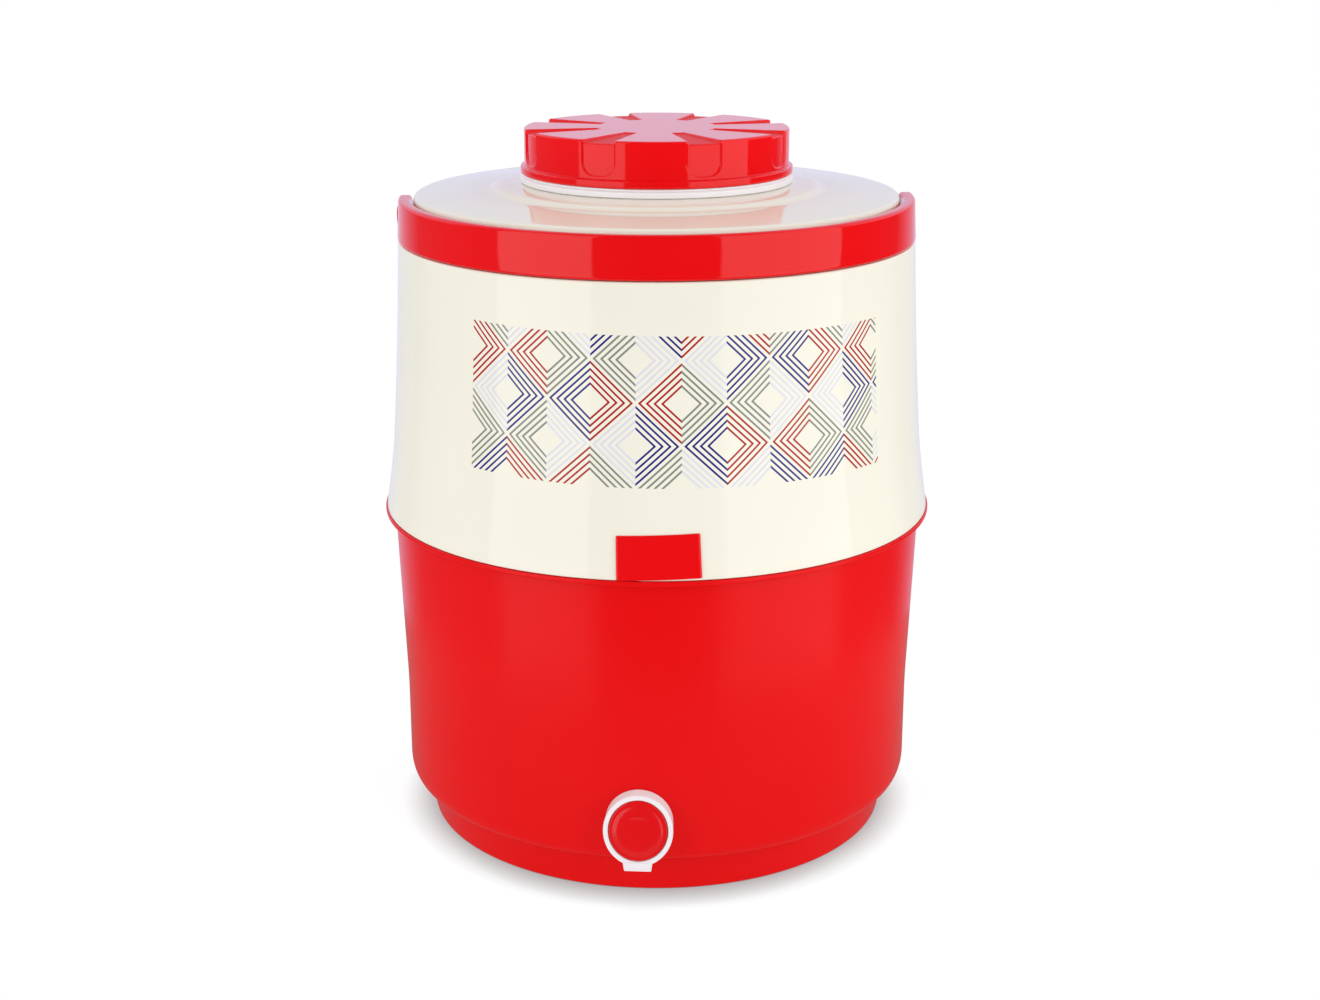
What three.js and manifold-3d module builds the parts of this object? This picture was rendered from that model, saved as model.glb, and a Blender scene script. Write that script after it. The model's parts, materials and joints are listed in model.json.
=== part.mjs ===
// Insulated water jug: two foam-filled shells round a tank, a folding bail handle,
// a screw cap with a foam core, and a push-button tap low on the front.
// Millimetres, +Z up. The origin is on the table, on the jug's axis. The tap faces -Y.

import * as THREE from 'three';
import { mergeVertices } from 'three/addons/utils/BufferGeometryUtils.js';
import Module from 'manifold-3d';

const wasm = await Module();
wasm.setup();
const { Manifold, Mesh } = wasm;

// Fits
const fitGap = 0.3;
const glueGap = 0.1;
const overrun = 3;

// Counts and angles
const roundSides = 36;
const holeSides = 20;
const wireSides = 5;
const turnSteps = 8;
const capGrooves = 8;
const capTurn = THREE.MathUtils.degToRad(3);
const handleTurn = THREE.MathUtils.degToRad(6);
const labelTurn = THREE.MathUtils.degToRad(4);
const tapSlant = THREE.MathUtils.degToRad(12.5);

// Walls
const shellWall = 2.6;
const tankWall = 2.5;

// Lower shell
const tubRadius = 155.9;
const tubFlare = 4.1;
const tubTaperRise = 50;
const footInset = 14.5;
const footTopInset = 11.4;
const footHeight = 22;
const footWidth = 5;
const baseHeight = 8;
const bellyInset = 4.4;
const bellyRise = 2.3;
const bellyCurveInset = 0.4;
const bellyCurveRise = 1.2;
const bellyHeight = 9.7;
const flangeOverhang = 5.7;
const flangeThickness = 3;
const flangeEdge = 0.8;
const seamHeight = 195.8;
const spigotHeight = 7;

// Upper shell
const lipInset = 0.9;
const lipCurveInset = 4.6;
const lipCurveRise = 28.9;
const waistInset = 5.8;
const waistRise = 43.9;
const sideCurveInset = 4.4;
const sideCurveRise = 60;
const ledgeInset = 6.4;
const ledgeRise = 116.5;
const rebateDepth = 9.7;
const rebateHeight = 25.9;
const domeEdge = 2.5;
const domeRounding = 3.6;
const domeRise = 2.4;
const stepMargin = 18.5;
const stepCurve = 2.3;
const stepRun = 4.1;
const stepRise = 2.5;
const collarRise = 1.7;

// Neck and tank
const mouthRadius = 66.4;
const neckSleeveWall = 3.8;
const neckSleeveDepth = 9;
const neckThreadWall = 2.8;
const neckFlangeWidth = 7;
const neckFlangeThickness = 3.7;
const neckGroove = 0.7;
const neckStepInset = 0.8;
const neckStepThickness = 1.3;
const tankInset = 16.9;
const tankTaper = 3;
const tankCorner = 8;
const bottomInsulation = 13.4;
const topInsulation = 20.4;
const tankShoulderDrop = 27;
const tankShoulderRun = 27;
const tankNeckRise = 5;

// Cap
const capWall = 3.3;
const capSkirtClearance = 2.3;
const capHeight = 25.7;
const capFlangeWidth = 2.3;
const capFlangeThickness = 4.4;
const capTopThickness = 4.4;
const capEdge = 1.6;
const grooveInnerRadius = 35;
const grooveInnerWidth = 8;
const grooveOuterWidth = 20;
const grooveInnerDepth = 0.8;
const grooveOuterDepth = 1.8;
const fingerWidth = 19.7;
const fingerCorner = 7.5;
const fingerDepth = 1;
const fingerRise = 1.1;
const plugClearance = 2.9;
const plugDepth = 22.6;
const plugWall = 2;
const plugFlangeThickness = 1.5;
const gasketThickness = 2;

// Handle and its pivots
const handleProud = 0.2;
const handleTaper = 1.3;
const handleHeight = 24.1;
const handleRest = 0.4;
const handleEdge = 1.8;
const handleFrontThickness = 4.6;
const handleEndGap = 1.2;
const pinRadius = 4;
const pinHeadRadius = 6;
const pinHeadThickness = 2.8;
const pinHeadEdge = 0.8;
const pinHeadProud = 1;
const pinReach = 9;
const clipWidth = 4;
const clipThickness = 1.6;
const clipGap = 0.9;
const pocketClearance = 1.5;
const pocketDepth = 14;

// Label plate
const labelWidth = 46;
const labelHeight = 24.2;
const labelThickness = 0.7;
const labelRise = 0.7;

// Tap
const tapRise = 25.3;
const tapProud = 10.5;
const tapEdge = 1;
const barrelInset = 1.3;
const buttonRadius = 16.7;
const tapRim = 3.6;
const buttonWall = 2;
const buttonProud = 0.8;
const buttonSkirt = 5.5;
const buttonEdge = 1.6;
const buttonDish = 1.2;
const buttonTravel = 5;
const buttonSpare = 1.7;
const springBossRadius = 8;
const springBossLength = 3;
const postRadius = 4.6;
const postLength = 9;
const socketDepth = 5;
const bayWall = 3;
const collarWidth = 6;
const collarThickness = 3;
const tapGasketThickness = 2;
const tankPadOut = 1.2;
const tankPadIn = 1.6;
const tankPadMargin = 2.5;
const shankRadius = 11;
const shankBore = 5.5;
const shankSpare = 1.2;
const stemRadius = 2;
const knobRadius = 3.6;
const knobLength = 2.5;
const finThickness = 1.2;
const finLength = 9;
const finClearance = 0.5;
const sealRadius = 8.5;
const sealThickness = 3.5;
const springRadius = 6.6;
const springWire = 1.1;
const springTurns = 5;
const nutWall = 3;
const nutThickness = 8;
const innerWasherThickness = 2;
const innerWasherWidth = 5.2;
const spoutWidth = 16.8;
const spoutDrop = 4.5;
const spoutWall = 2.2;
const outletDepth = 7.5;
const foamHoleGap = 1.5;

// Base plug
const plugHoleRadius = 8;
const basePlugHeadRadius = 11;
const basePlugHeadThickness = 1.6;
const basePlugLip = 1.4;

// Finishes
const finish = (color, roughness) => new THREE.MeshStandardMaterial({ color, roughness, metalness: 0 });
const redPlastic = finish(0xe8120f, 0.25);
const creamPlastic = finish(0xf3f1e2, 0.25);
const whitePlastic = finish(0xf5f0f2, 0.3);
const linerPlastic = finish(0xe9e7dd, 0.4);
const foamFill = finish(0xe6d9a8, 0.9);
const rubber = finish(0x6f7274, 0.7);
const steel = new THREE.MeshStandardMaterial({ color: 0xb9bcc0, roughness: 0.3, metalness: 1 });

// Solids and booleans

// A closed solid from any three.js geometry: shared corners merged, collapsed triangles dropped.
function solid(geometry) {
  const bare = new THREE.BufferGeometry();
  bare.setAttribute('position', geometry.getAttribute('position'));
  bare.setIndex(geometry.getIndex());
  const merged = mergeVertices(bare);
  const corners = merged.getIndex().array;
  const kept = [];
  for (let i = 0; i < corners.length; i += 3) {
    const [a, b, c] = corners.slice(i, i + 3);
    if (a !== b && b !== c && c !== a) kept.push(a, b, c);
  }
  return new Manifold(new Mesh({
    numProp: 3,
    vertProperties: Float32Array.from(merged.getAttribute('position').array),
    triVerts: Uint32Array.from(kept),
  }));
}

const group = new THREE.Group();

// A named mesh from a finished solid, added to a parent group.
function addPiece(name, body, material, parent = group) {
  const { vertProperties, triVerts } = body.getMesh();
  const geometry = new THREE.BufferGeometry();
  geometry.setAttribute('position', new THREE.BufferAttribute(vertProperties, 3));
  geometry.setIndex(new THREE.BufferAttribute(triVerts, 1));
  geometry.computeVertexNormals();
  const piece = new THREE.Mesh(geometry, material);
  piece.name = name;
  parent.add(piece);
}

const lathed = (outline, sides) =>
  new THREE.LatheGeometry(outline.map(([radius, along]) => new THREE.Vector2(radius, along)), sides);

// A solid of revolution about Z. The outline is radius and height, from the bottom outwards and up.
const turned = (outline, sides = roundSides) => solid(lathed(outline, sides).rotateX(Math.PI / 2));

// The same as a ring: its outline closes on its own first point.
const ring = (outline, sides = roundSides) => turned([...outline, outline[0]], sides);

// A cylinder along the tap's axis between two distances out from the jug's axis.
function alongTap(radius, fromOut, toOut, sides = holeSides) {
  const bar = new THREE.CylinderGeometry(radius, radius, toOut - fromOut, sides);
  return solid(bar.translate(0, -(fromOut + toOut) / 2, tapHeight));
}

// A ring along the tap's axis.
const tapRing = (outer, inner, fromOut, toOut) =>
  alongTap(outer, fromOut, toOut).subtract(alongTap(inner, fromOut - overrun, toOut + overrun));

// Outline points that lean back with the tap's slanted face.
const leaning = points => points.map(([radius, out]) => [radius, out, true]);

// A solid of revolution on the tap's axis: the outline is radius and distance out, and its
// leaning points are sheared, further back the higher they lie.
function tapTurned(outline) {
  const form = lathed(outline, holeSides).rotateX(Math.PI);
  const place = form.getAttribute('position');
  for (let i = 0; i < place.count; i++) {
    if (!outline[i % outline.length][2]) continue;
    place.setY(i, place.getY(i) + place.getZ(i) * Math.tan(tapSlant));
  }
  return solid(form.translate(0, 0, tapHeight));
}

// A cylinder across the jug at the handle pivots' height, between two distances, then turned.
function alongPivot(radius, from, to, turn = 0) {
  const bar = new THREE.CylinderGeometry(radius, radius, to - from, holeSides).rotateZ(Math.PI / 2);
  return solid(bar.translate((from + to) / 2, 0, pivotHeight).rotateZ(turn));
}

// A box from its lowest to its highest corner, then turned about the jug's axis.
function boxed(low, high, turn = 0) {
  const size = high.map((value, i) => value - low[i]);
  const middle = high.map((value, i) => (value + low[i]) / 2);
  return solid(new THREE.BoxGeometry(...size).translate(...middle).rotateZ(turn));
}

// Points along a curve with one control point, without its first point.
function bend([r0, z0], [r1, z1], [r2, z2], steps) {
  const curve = new THREE.QuadraticBezierCurve(
    new THREE.Vector2(r0, z0), new THREE.Vector2(r1, z1), new THREE.Vector2(r2, z2));
  return curve.getPoints(steps).slice(1).map(point => [point.x, point.y]);
}

const shifted = (points, outwards) => points.map(([radius, height]) => [radius + outwards, height]);

// Radii and heights that several pieces share
const footRadius = tubRadius - footInset;
const footTopRadius = tubRadius - footTopInset;
const tubTopRadius = tubRadius + tubFlare;
const flangeRadius = tubTopRadius + flangeOverhang;
const lipRadius = flangeRadius - lipInset;
const waistRadius = lipRadius - waistInset;
const ledgeRadius = waistRadius - ledgeInset;
const rebateRadius = ledgeRadius - rebateDepth;
const bellyEdgeHeight = footHeight + bellyRise;
const tubHeight = bellyEdgeHeight + bellyHeight;
const floorTop = baseHeight + shellWall;
const lipHeight = seamHeight + fitGap;
const waistHeight = lipHeight + waistRise;
const ledgeHeight = waistHeight + ledgeRise;
const domeEdgeHeight = ledgeHeight + rebateHeight;
const platformHeight = domeEdgeHeight + domeRise + stepRise;
const collarHeight = platformHeight + collarRise;

const neckBore = mouthRadius + tankWall + fitGap;
const neckSleeveRadius = neckBore + neckSleeveWall;
const neckThreadRadius = neckBore + neckThreadWall;
const neckFlangeRadius = neckSleeveRadius + neckFlangeWidth;
const neckFlangeBottom = collarHeight + fitGap;
const neckStepTop = neckFlangeBottom + neckFlangeThickness + neckStepThickness;
const capBottom = neckStepTop + fitGap;
const capTop = capBottom + capHeight;
const capSkirtRadius = neckThreadRadius + capSkirtClearance;
const capRadius = capSkirtRadius + capWall;
const capFlangeRadius = capRadius + capFlangeWidth;
const capUnderside = capTop - capTopThickness;
const plugRadius = mouthRadius - plugClearance;
const plugFlangeTop = capUnderside - fitGap;
const plugFlangeBottom = plugFlangeTop - plugFlangeThickness;
const gasketBottom = plugFlangeBottom - fitGap - gasketThickness;
const rimHeight = gasketBottom - fitGap;

const tankRadius = tubRadius - tankInset;
const tankFloorRadius = tankRadius - tankTaper;
const tankBottom = floorTop + bottomInsulation;
const tankTopHeight = domeEdgeHeight - topInsulation;
const tapHeight = tankBottom + tapRise;

const handleRadius = ledgeRadius + handleProud;
const handleTopRadius = handleRadius - handleTaper;
const pivotHeight = ledgeHeight + handleRest + handleHeight / 2;
const handleEndInside = rebateRadius + handleEndGap;

const clipRadius = pinRadius + clipWidth;

// Radii of the tap's pieces, and distances out from the jug's axis along the tap
const tapRadius = buttonRadius + tapRim;
const barrelRadius = tapRadius - barrelInset;
const collarRadius = shankRadius + collarWidth;
const tankPadRadius = collarRadius + tankPadMargin;
const faceOut = tubRadius + tapProud;
const padOut = tankFloorRadius + tankPadOut;
const padInnerOut = tankFloorRadius - tankWall - tankPadIn;
const collarOut = padOut + fitGap + tapGasketThickness + fitGap;
const nutOut = padInnerOut - fitGap - innerWasherThickness - fitGap;
const shankEndOut = nutOut - nutThickness - shankSpare;
const sealOut = shankEndOut - fitGap;
const buttonFrontOut = faceOut + buttonProud;
const buttonInsideOut = buttonFrontOut - buttonWall;
const springSeatOut = buttonInsideOut - springBossLength;
const postEndOut = buttonInsideOut - postLength;
const bayOut = postEndOut - buttonTravel - buttonSpare;
const barrelBackOut = bayOut - bayWall;

// Upper shell side, from the lip at the seam up to the handle ledge
const sideLine = [
  [lipRadius, lipHeight],
  ...bend([lipRadius, lipHeight], [lipRadius - lipCurveInset, lipHeight + lipCurveRise],
    [waistRadius, waistHeight], 4),
  ...bend([waistRadius, waistHeight], [waistRadius - sideCurveInset, waistHeight + sideCurveRise],
    [ledgeRadius, ledgeHeight], 2),
];

// Shells

function lowerShell() {
  const tubLine = inset => {
    const edge = [tubRadius - bellyInset - inset, bellyEdgeHeight + inset];
    const curve = [tubRadius - bellyCurveInset - inset, bellyEdgeHeight + bellyCurveRise + inset];
    return [
      edge,
      ...bend(edge, curve, [tubRadius - inset, tubHeight], 3),
      [tubRadius - inset, tubHeight + tubTaperRise],
      [tubTopRadius - inset, seamHeight - flangeThickness],
    ];
  };
  const inside = tubLine(shellWall).reverse();
  const body = turned([
    [0, baseHeight],
    [footRadius - footWidth, baseHeight],
    [footRadius - footWidth, 0],
    [footRadius, 0],
    [footTopRadius, footHeight],
    ...tubLine(0),
    [flangeRadius - flangeEdge, seamHeight - flangeThickness],
    [flangeRadius, seamHeight - flangeThickness + flangeEdge],
    [flangeRadius, seamHeight],
    [tubTopRadius, seamHeight],
    [tubTopRadius, seamHeight + spigotHeight],
    [tubTopRadius - shellWall, seamHeight + spigotHeight],
    ...inside,
    [footTopRadius - shellWall, footHeight + shellWall],
    [footTopRadius - shellWall, floorTop],
    [0, floorTop],
  ]);
  const fillHole = turned([
    [0, baseHeight - overrun], [plugHoleRadius, baseHeight - overrun],
    [plugHoleRadius, floorTop + overrun], [0, floorTop + overrun],
  ], holeSides);
  return body
    .subtract(alongTap(barrelRadius + fitGap, tubRadius - shellWall - overrun, tubRadius + overrun))
    .subtract(fillHole);
}

// The dome, from the top of the rebate wall inwards; outwards is negative for its underside.
function domeLine(drop) {
  const wall = rebateRadius - drop;
  const edge = domeEdgeHeight - drop;
  const step = neckFlangeRadius + stepMargin - drop;
  const stepBottom = edge + domeRise;
  return [
    [wall, edge - domeRounding],
    ...bend([wall, edge - domeRounding], [wall, edge], [wall - domeEdge, edge], 2),
    [step, stepBottom],
    ...bend([step, stepBottom], [step - stepCurve, stepBottom],
      [step - stepRun, stepBottom + stepRise], 2),
  ];
}

function upperShell() {
  const opening = neckSleeveRadius + fitGap;
  const inside = shifted(sideLine, -shellWall).reverse();
  const body = ring([
    ...sideLine,
    [rebateRadius, ledgeHeight],
    ...domeLine(0),
    [neckFlangeRadius, collarHeight],
    [opening, collarHeight],
    [opening, collarHeight - shellWall],
    ...domeLine(shellWall).reverse(),
    [rebateRadius - shellWall, ledgeHeight - shellWall],
    [ledgeRadius - shellWall, ledgeHeight - shellWall],
    ...inside.slice(1),
  ]);
  const holeStart = rebateRadius - shellWall - overrun;
  return body
    .subtract(alongPivot(pinRadius + fitGap, -ledgeRadius, -holeStart, handleTurn))
    .subtract(alongPivot(pinRadius + fitGap, holeStart, ledgeRadius, handleTurn));
}

// Tank and foam

// Outside of the tank from its floor to its rim, pushed outwards by a gap.
function tankLine(gap, topHeight) {
  const floorRadius = tankFloorRadius + gap;
  const wallRadius = tankRadius + gap;
  const neckRadius = mouthRadius + tankWall + gap;
  const bottom = tankBottom - gap;
  const shoulder = ledgeHeight - tankShoulderDrop;
  const top = tankTopHeight + gap;
  return [
    [0, bottom],
    [floorRadius - tankCorner, bottom],
    ...bend([floorRadius - tankCorner, bottom], [floorRadius, bottom], [floorRadius, bottom + tankCorner], 2),
    [floorRadius, tapHeight + tankPadRadius + tankCorner],
    [wallRadius, shoulder],
    ...bend([wallRadius, shoulder], [wallRadius, top], [tankRadius - tankShoulderRun, top], 2),
    [neckRadius, top + tankNeckRise],
    [neckRadius, topHeight],
  ];
}

function innerTank() {
  const shell = turned([
    ...tankLine(0, rimHeight),
    [mouthRadius, rimHeight],
    ...tankLine(-tankWall, tankTopHeight + tankNeckRise).reverse().slice(1),
  ]);
  const pad = alongTap(tankPadRadius, padInnerOut, padOut);
  return shell.add(pad).subtract(alongTap(shankRadius + fitGap, padInnerOut - overrun, padOut + overrun));
}

function foamFilling() {
  const opening = neckSleeveRadius + fitGap;
  const neckBottom = neckFlangeBottom - neckSleeveDepth;
  const gap = shellWall + fitGap;
  const inside = tankLine(fitGap, neckBottom - fitGap).reverse();
  const body = turned([
    [0, floorTop + fitGap],
    [footTopRadius - gap, floorTop + fitGap],
    [footTopRadius - gap, footHeight + gap],
    [tubRadius - bellyInset - gap, bellyEdgeHeight + gap],
    [tubRadius - gap, tubHeight],
    [tubRadius - gap, tubHeight + tubTaperRise],
    [tubTopRadius - gap, seamHeight + spigotHeight + fitGap],
    [waistRadius - gap, waistHeight],
    [waistRadius - sideCurveInset - gap, waistHeight + sideCurveRise],
    [ledgeRadius - gap, ledgeHeight - gap],
    [rebateRadius - gap, ledgeHeight - gap],
    ...domeLine(gap),
    [opening, collarHeight - gap],
    [opening, neckBottom - fitGap],
    ...inside,
  ]);
  const pocketRadius = clipRadius + pocketClearance;
  const pocketStart = rebateRadius - pocketDepth;
  const plugPocket = turned([
    [0, floorTop - overrun], [basePlugHeadRadius, floorTop - overrun],
    [basePlugHeadRadius, floorTop + basePlugLip + overrun], [0, floorTop + basePlugLip + overrun],
  ], holeSides);
  return body
    .subtract(alongTap(barrelRadius + foamHoleGap, padInnerOut, tubRadius + overrun))
    .subtract(alongPivot(pocketRadius, -ledgeRadius, -pocketStart, handleTurn))
    .subtract(alongPivot(pocketRadius, pocketStart, ledgeRadius, handleTurn))
    .subtract(plugPocket);
}

function neckRing() {
  const bottom = neckFlangeBottom;
  const middle = bottom + neckFlangeThickness;
  const stepRadius = neckFlangeRadius - neckStepInset;
  return ring([
    [neckBore, bottom - neckSleeveDepth],
    [neckSleeveRadius, bottom - neckSleeveDepth],
    [neckSleeveRadius, bottom],
    [neckFlangeRadius, bottom],
    [neckFlangeRadius, middle - neckGroove],
    [stepRadius - neckGroove, middle],
    [stepRadius, neckStepTop],
    [neckThreadRadius, neckStepTop],
    [neckThreadRadius, rimHeight],
    [neckBore, rimHeight],
  ]);
}

function basePlug() {
  const headTop = baseHeight - fitGap;
  const shaft = plugHoleRadius - fitGap;
  return turned([
    [0, headTop - basePlugHeadThickness],
    [basePlugHeadRadius, headTop - basePlugHeadThickness],
    [basePlugHeadRadius, headTop],
    [shaft, headTop],
    [shaft, floorTop + basePlugLip],
    [0, floorTop + basePlugLip],
  ], holeSides);
}

// A plate that follows the shell's flare, cut out of a thin skin over it.
function labelPlate() {
  const skin = ring([
    ...shifted(sideLine, glueGap + labelThickness),
    ...shifted(sideLine, glueGap).reverse(),
  ]);
  const low = seamHeight + labelRise;
  const half = labelWidth / 2;
  return skin.intersect(boxed([-half, -flangeRadius, low], [half, 0, low + labelHeight], labelTurn));
}

// Cap

// One finger recess: a U-shaped outline pushed in from the side, down to a round floor.
function fingerCut(angle, floor) {
  const half = fingerWidth / 2;
  const low = capBottom + capFlangeThickness + fingerRise;
  const outline = new THREE.Shape();
  outline.moveTo(-half, capTop + overrun);
  outline.lineTo(-half, low + fingerCorner);
  outline.quadraticCurveTo(-half, low, -half + fingerCorner, low);
  outline.lineTo(half - fingerCorner, low);
  outline.quadraticCurveTo(half, low, half, low + fingerCorner);
  outline.lineTo(half, capTop + overrun);
  const depth = capRadius + overrun;
  const bar = new THREE.ExtrudeGeometry(outline, { depth, bevelEnabled: false, curveSegments: 3 });
  return solid(bar.rotateX(Math.PI / 2).rotateZ(angle)).subtract(floor);
}

// One wedge groove in the top: narrow and shallow inside, wide and deep at the rim.
function wedgeCut(angle) {
  const length = capRadius - grooveInnerRadius;
  const slope = Math.atan2(grooveOuterDepth - grooveInnerDepth, length);
  const outline = new THREE.Shape();
  outline.moveTo(-grooveInnerWidth / 2, 0);
  outline.lineTo(grooveInnerWidth / 2, 0);
  outline.lineTo(grooveOuterWidth / 2, length);
  outline.lineTo(grooveOuterWidth / 2, length + overrun);
  outline.lineTo(-grooveOuterWidth / 2, length + overrun);
  outline.lineTo(-grooveOuterWidth / 2, length);
  const depth = capTopThickness;
  const bar = new THREE.ExtrudeGeometry(outline, { depth, bevelEnabled: false });
  bar.rotateZ(Math.PI).rotateX(slope);
  return solid(bar.translate(0, -grooveInnerRadius, capTop - grooveInnerDepth).rotateZ(angle));
}

function capShell() {
  const flangeTop = capBottom + capFlangeThickness;
  const body = turned([
    [0, capUnderside],
    [capSkirtRadius, capUnderside],
    [capSkirtRadius, capBottom],
    [capFlangeRadius, capBottom],
    [capFlangeRadius, flangeTop - capEdge / 2],
    [capFlangeRadius - capEdge / 2, flangeTop],
    [capRadius, flangeTop],
    [capRadius, capTop - capEdge],
    ...bend([capRadius, capTop - capEdge], [capRadius, capTop], [capRadius - capEdge, capTop], 2),
    [0, capTop],
  ]);
  const core = turned([
    [0, capBottom], [capRadius - fingerDepth, capBottom],
    [capRadius - fingerDepth, capTop + overrun], [0, capTop + overrun],
  ]);
  let shell = body;
  for (let i = 0; i < capGrooves; i++) {
    const angle = capTurn + (i + 0.5) * 2 * Math.PI / capGrooves;
    shell = shell.subtract(fingerCut(angle, core)).subtract(wedgeCut(angle));
  }
  return shell;
}

function capPlug() {
  const bottom = plugFlangeTop - plugDepth;
  return turned([
    [0, bottom],
    [plugRadius - plugWall, bottom],
    [plugRadius, bottom + plugWall],
    [plugRadius, plugFlangeBottom],
    [neckThreadRadius, plugFlangeBottom],
    [neckThreadRadius, plugFlangeTop],
    [plugRadius - plugWall, plugFlangeTop],
    [plugRadius - plugWall, bottom + plugWall],
    [0, bottom + plugWall],
  ]);
}

function capFoam() {
  const radius = plugRadius - plugWall - fitGap;
  const bottom = plugFlangeTop - plugDepth + plugWall + fitGap;
  return turned([[0, bottom], [radius, bottom], [radius, plugFlangeTop], [0, plugFlangeTop]]);
}

function capGasket() {
  const inner = plugRadius + fitGap;
  return ring([
    [inner, gasketBottom], [neckThreadRadius, gasketBottom],
    [neckThreadRadius, gasketBottom + gasketThickness], [inner, gasketBottom + gasketThickness],
  ]);
}

// Handle

// The bail: a tapered band cut by an oval, so it is thin at the front and thick at the pivots.
function handleBail() {
  const low = pivotHeight - handleHeight / 2;
  const high = pivotHeight + handleHeight / 2;
  const band = turned([
    [0, low],
    [handleRadius - handleEdge, low],
    ...bend([handleRadius - handleEdge, low], [handleRadius, low], [handleRadius, low + handleEdge], 2),
    [handleTopRadius, high - handleEdge],
    ...bend([handleTopRadius, high - handleEdge], [handleTopRadius, high],
      [handleTopRadius - handleEdge, high], 2),
    [0, high],
  ]);
  const frontHalf = boxed([-handleRadius, -handleRadius, low], [handleRadius, 0, high]);
  const oval = new THREE.CylinderGeometry(1, 1, handleHeight + 2 * overrun, roundSides).rotateX(Math.PI / 2);
  oval.scale(handleEndInside, handleTopRadius - handleFrontThickness, 1);
  const bore = solid(oval.translate(0, 0, pivotHeight));
  const ears = alongPivot(handleHeight / 2, -handleRadius, -handleEndInside)
    .add(alongPivot(handleHeight / 2, handleEndInside, handleRadius));
  const headDepth = handleRadius + pinHeadProud - pinHeadThickness - fitGap;
  const pinHoles = alongPivot(pinRadius + fitGap, -handleRadius - overrun, handleRadius + overrun)
    .add(alongPivot(pinHeadRadius + fitGap, -handleRadius - overrun, -headDepth))
    .add(alongPivot(pinHeadRadius + fitGap, headDepth, handleRadius + overrun));
  return band.intersect(frontHalf.add(ears)).subtract(bore).subtract(pinHoles);
}

// A headed pivot pin, pointing inwards from its side of the jug: 1 is the right, -1 the left.
function handlePin(side) {
  const headFace = handleRadius + pinHeadProud;
  const headBack = headFace - pinHeadThickness;
  const end = rebateRadius - shellWall - pinReach;
  const outline = [
    [0, end],
    [pinRadius - pinHeadEdge, end],
    [pinRadius, end + pinHeadEdge],
    [pinRadius, headBack],
    [pinHeadRadius, headBack],
    [pinHeadRadius, headFace - pinHeadEdge],
    [pinHeadRadius - pinHeadEdge, headFace],
    [0, headFace],
  ];
  return solid(lathed(outline, holeSides).rotateZ(-side * Math.PI / 2).translate(0, 0, pivotHeight));
}

// The push-on clip that holds a pin inside the shell.
function pinClip(side) {
  const outerFace = side * (rebateRadius - shellWall - clipGap);
  const innerFace = outerFace - side * clipThickness;
  const from = Math.min(outerFace, innerFace);
  const to = Math.max(outerFace, innerFace);
  return alongPivot(clipRadius, from, to)
    .subtract(alongPivot(pinRadius + fitGap, from - overrun, to + overrun));
}

// Tap

function tapBody() {
  const jugSide = turned([
    [0, 0], [tubRadius + fitGap, 0], [tubRadius + fitGap, seamHeight], [0, seamHeight],
  ]);
  const head = tapTurned([
    [0, bayOut],
    [tapRadius, bayOut],
    ...leaning([[tapRadius, faceOut - tapEdge], [tapRadius - tapEdge, faceOut], [0, faceOut]]),
  ]);
  const spoutTop = tapHeight - buttonRadius;
  const spoutLow = tapHeight - tapRadius - spoutDrop;
  const spoutHalf = spoutWidth / 2;
  const spoutFront = faceOut + spoutDrop;
  const spout = boxed([-spoutHalf, -spoutFront, spoutLow], [spoutHalf, -bayOut, spoutTop]);
  const outletHalf = spoutHalf - spoutWall;
  const outletBack = tubRadius + spoutWall;
  const outlet = boxed([-outletHalf, -outletBack - outletDepth, spoutLow - overrun],
    [outletHalf, -outletBack, spoutTop + overrun]);
  return head.add(spout).subtract(jugSide)
    .add(alongTap(barrelRadius, barrelBackOut, tubRadius + tapEdge))
    .add(alongTap(collarRadius, collarOut, collarOut + collarThickness))
    .add(alongTap(shankRadius, shankEndOut, bayOut))
    .subtract(alongTap(buttonRadius + fitGap, bayOut, faceOut + tapRadius))
    .subtract(alongTap(shankBore, shankEndOut - overrun, bayOut + overrun))
    .subtract(outlet);
}

// The button: a slanted dish with a short skirt, a flat seat for the spring, and a post with
// a socket that holds the stem.
function tapButton() {
  const socketRadius = stemRadius + fitGap;
  const skirtRadius = buttonRadius - buttonWall;
  const front = buttonFrontOut;
  return tapTurned([
    [0, postEndOut + socketDepth],
    [socketRadius, postEndOut + socketDepth],
    [socketRadius, postEndOut],
    [postRadius, postEndOut],
    [postRadius, springSeatOut],
    [springBossRadius, springSeatOut],
    ...leaning([
      [springBossRadius, buttonInsideOut],
      [skirtRadius, buttonInsideOut],
      [skirtRadius, front - buttonSkirt],
      [buttonRadius, front - buttonSkirt],
      [buttonRadius, front - buttonEdge],
      ...bend([buttonRadius, front - buttonEdge], [buttonRadius, front],
        [buttonRadius - buttonEdge, front], 3),
      [buttonRadius / 2, front - buttonDish],
      [0, front - buttonDish],
    ]),
  ]);
}

// The stem from its knob behind the seal to the button's socket, with fins that centre it.
function tapStem() {
  const knobOut = sealOut - sealThickness - fitGap;
  const tip = postEndOut + socketDepth - fitGap;
  const rod = tapTurned([
    [0, knobOut - knobLength],
    [knobRadius, knobOut - knobLength],
    [knobRadius, knobOut],
    [stemRadius, knobOut],
    [stemRadius, tip],
    [0, tip],
  ]);
  const reach = shankBore - finClearance;
  const half = finThickness / 2;
  const back = padInnerOut - finLength / 2;
  const flat = boxed([-reach, -back - finLength, tapHeight - half], [reach, -back, tapHeight + half]);
  const upright = boxed([-half, -back - finLength, tapHeight - reach], [half, -back, tapHeight + reach]);
  return rod.add(flat).add(upright);
}

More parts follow.
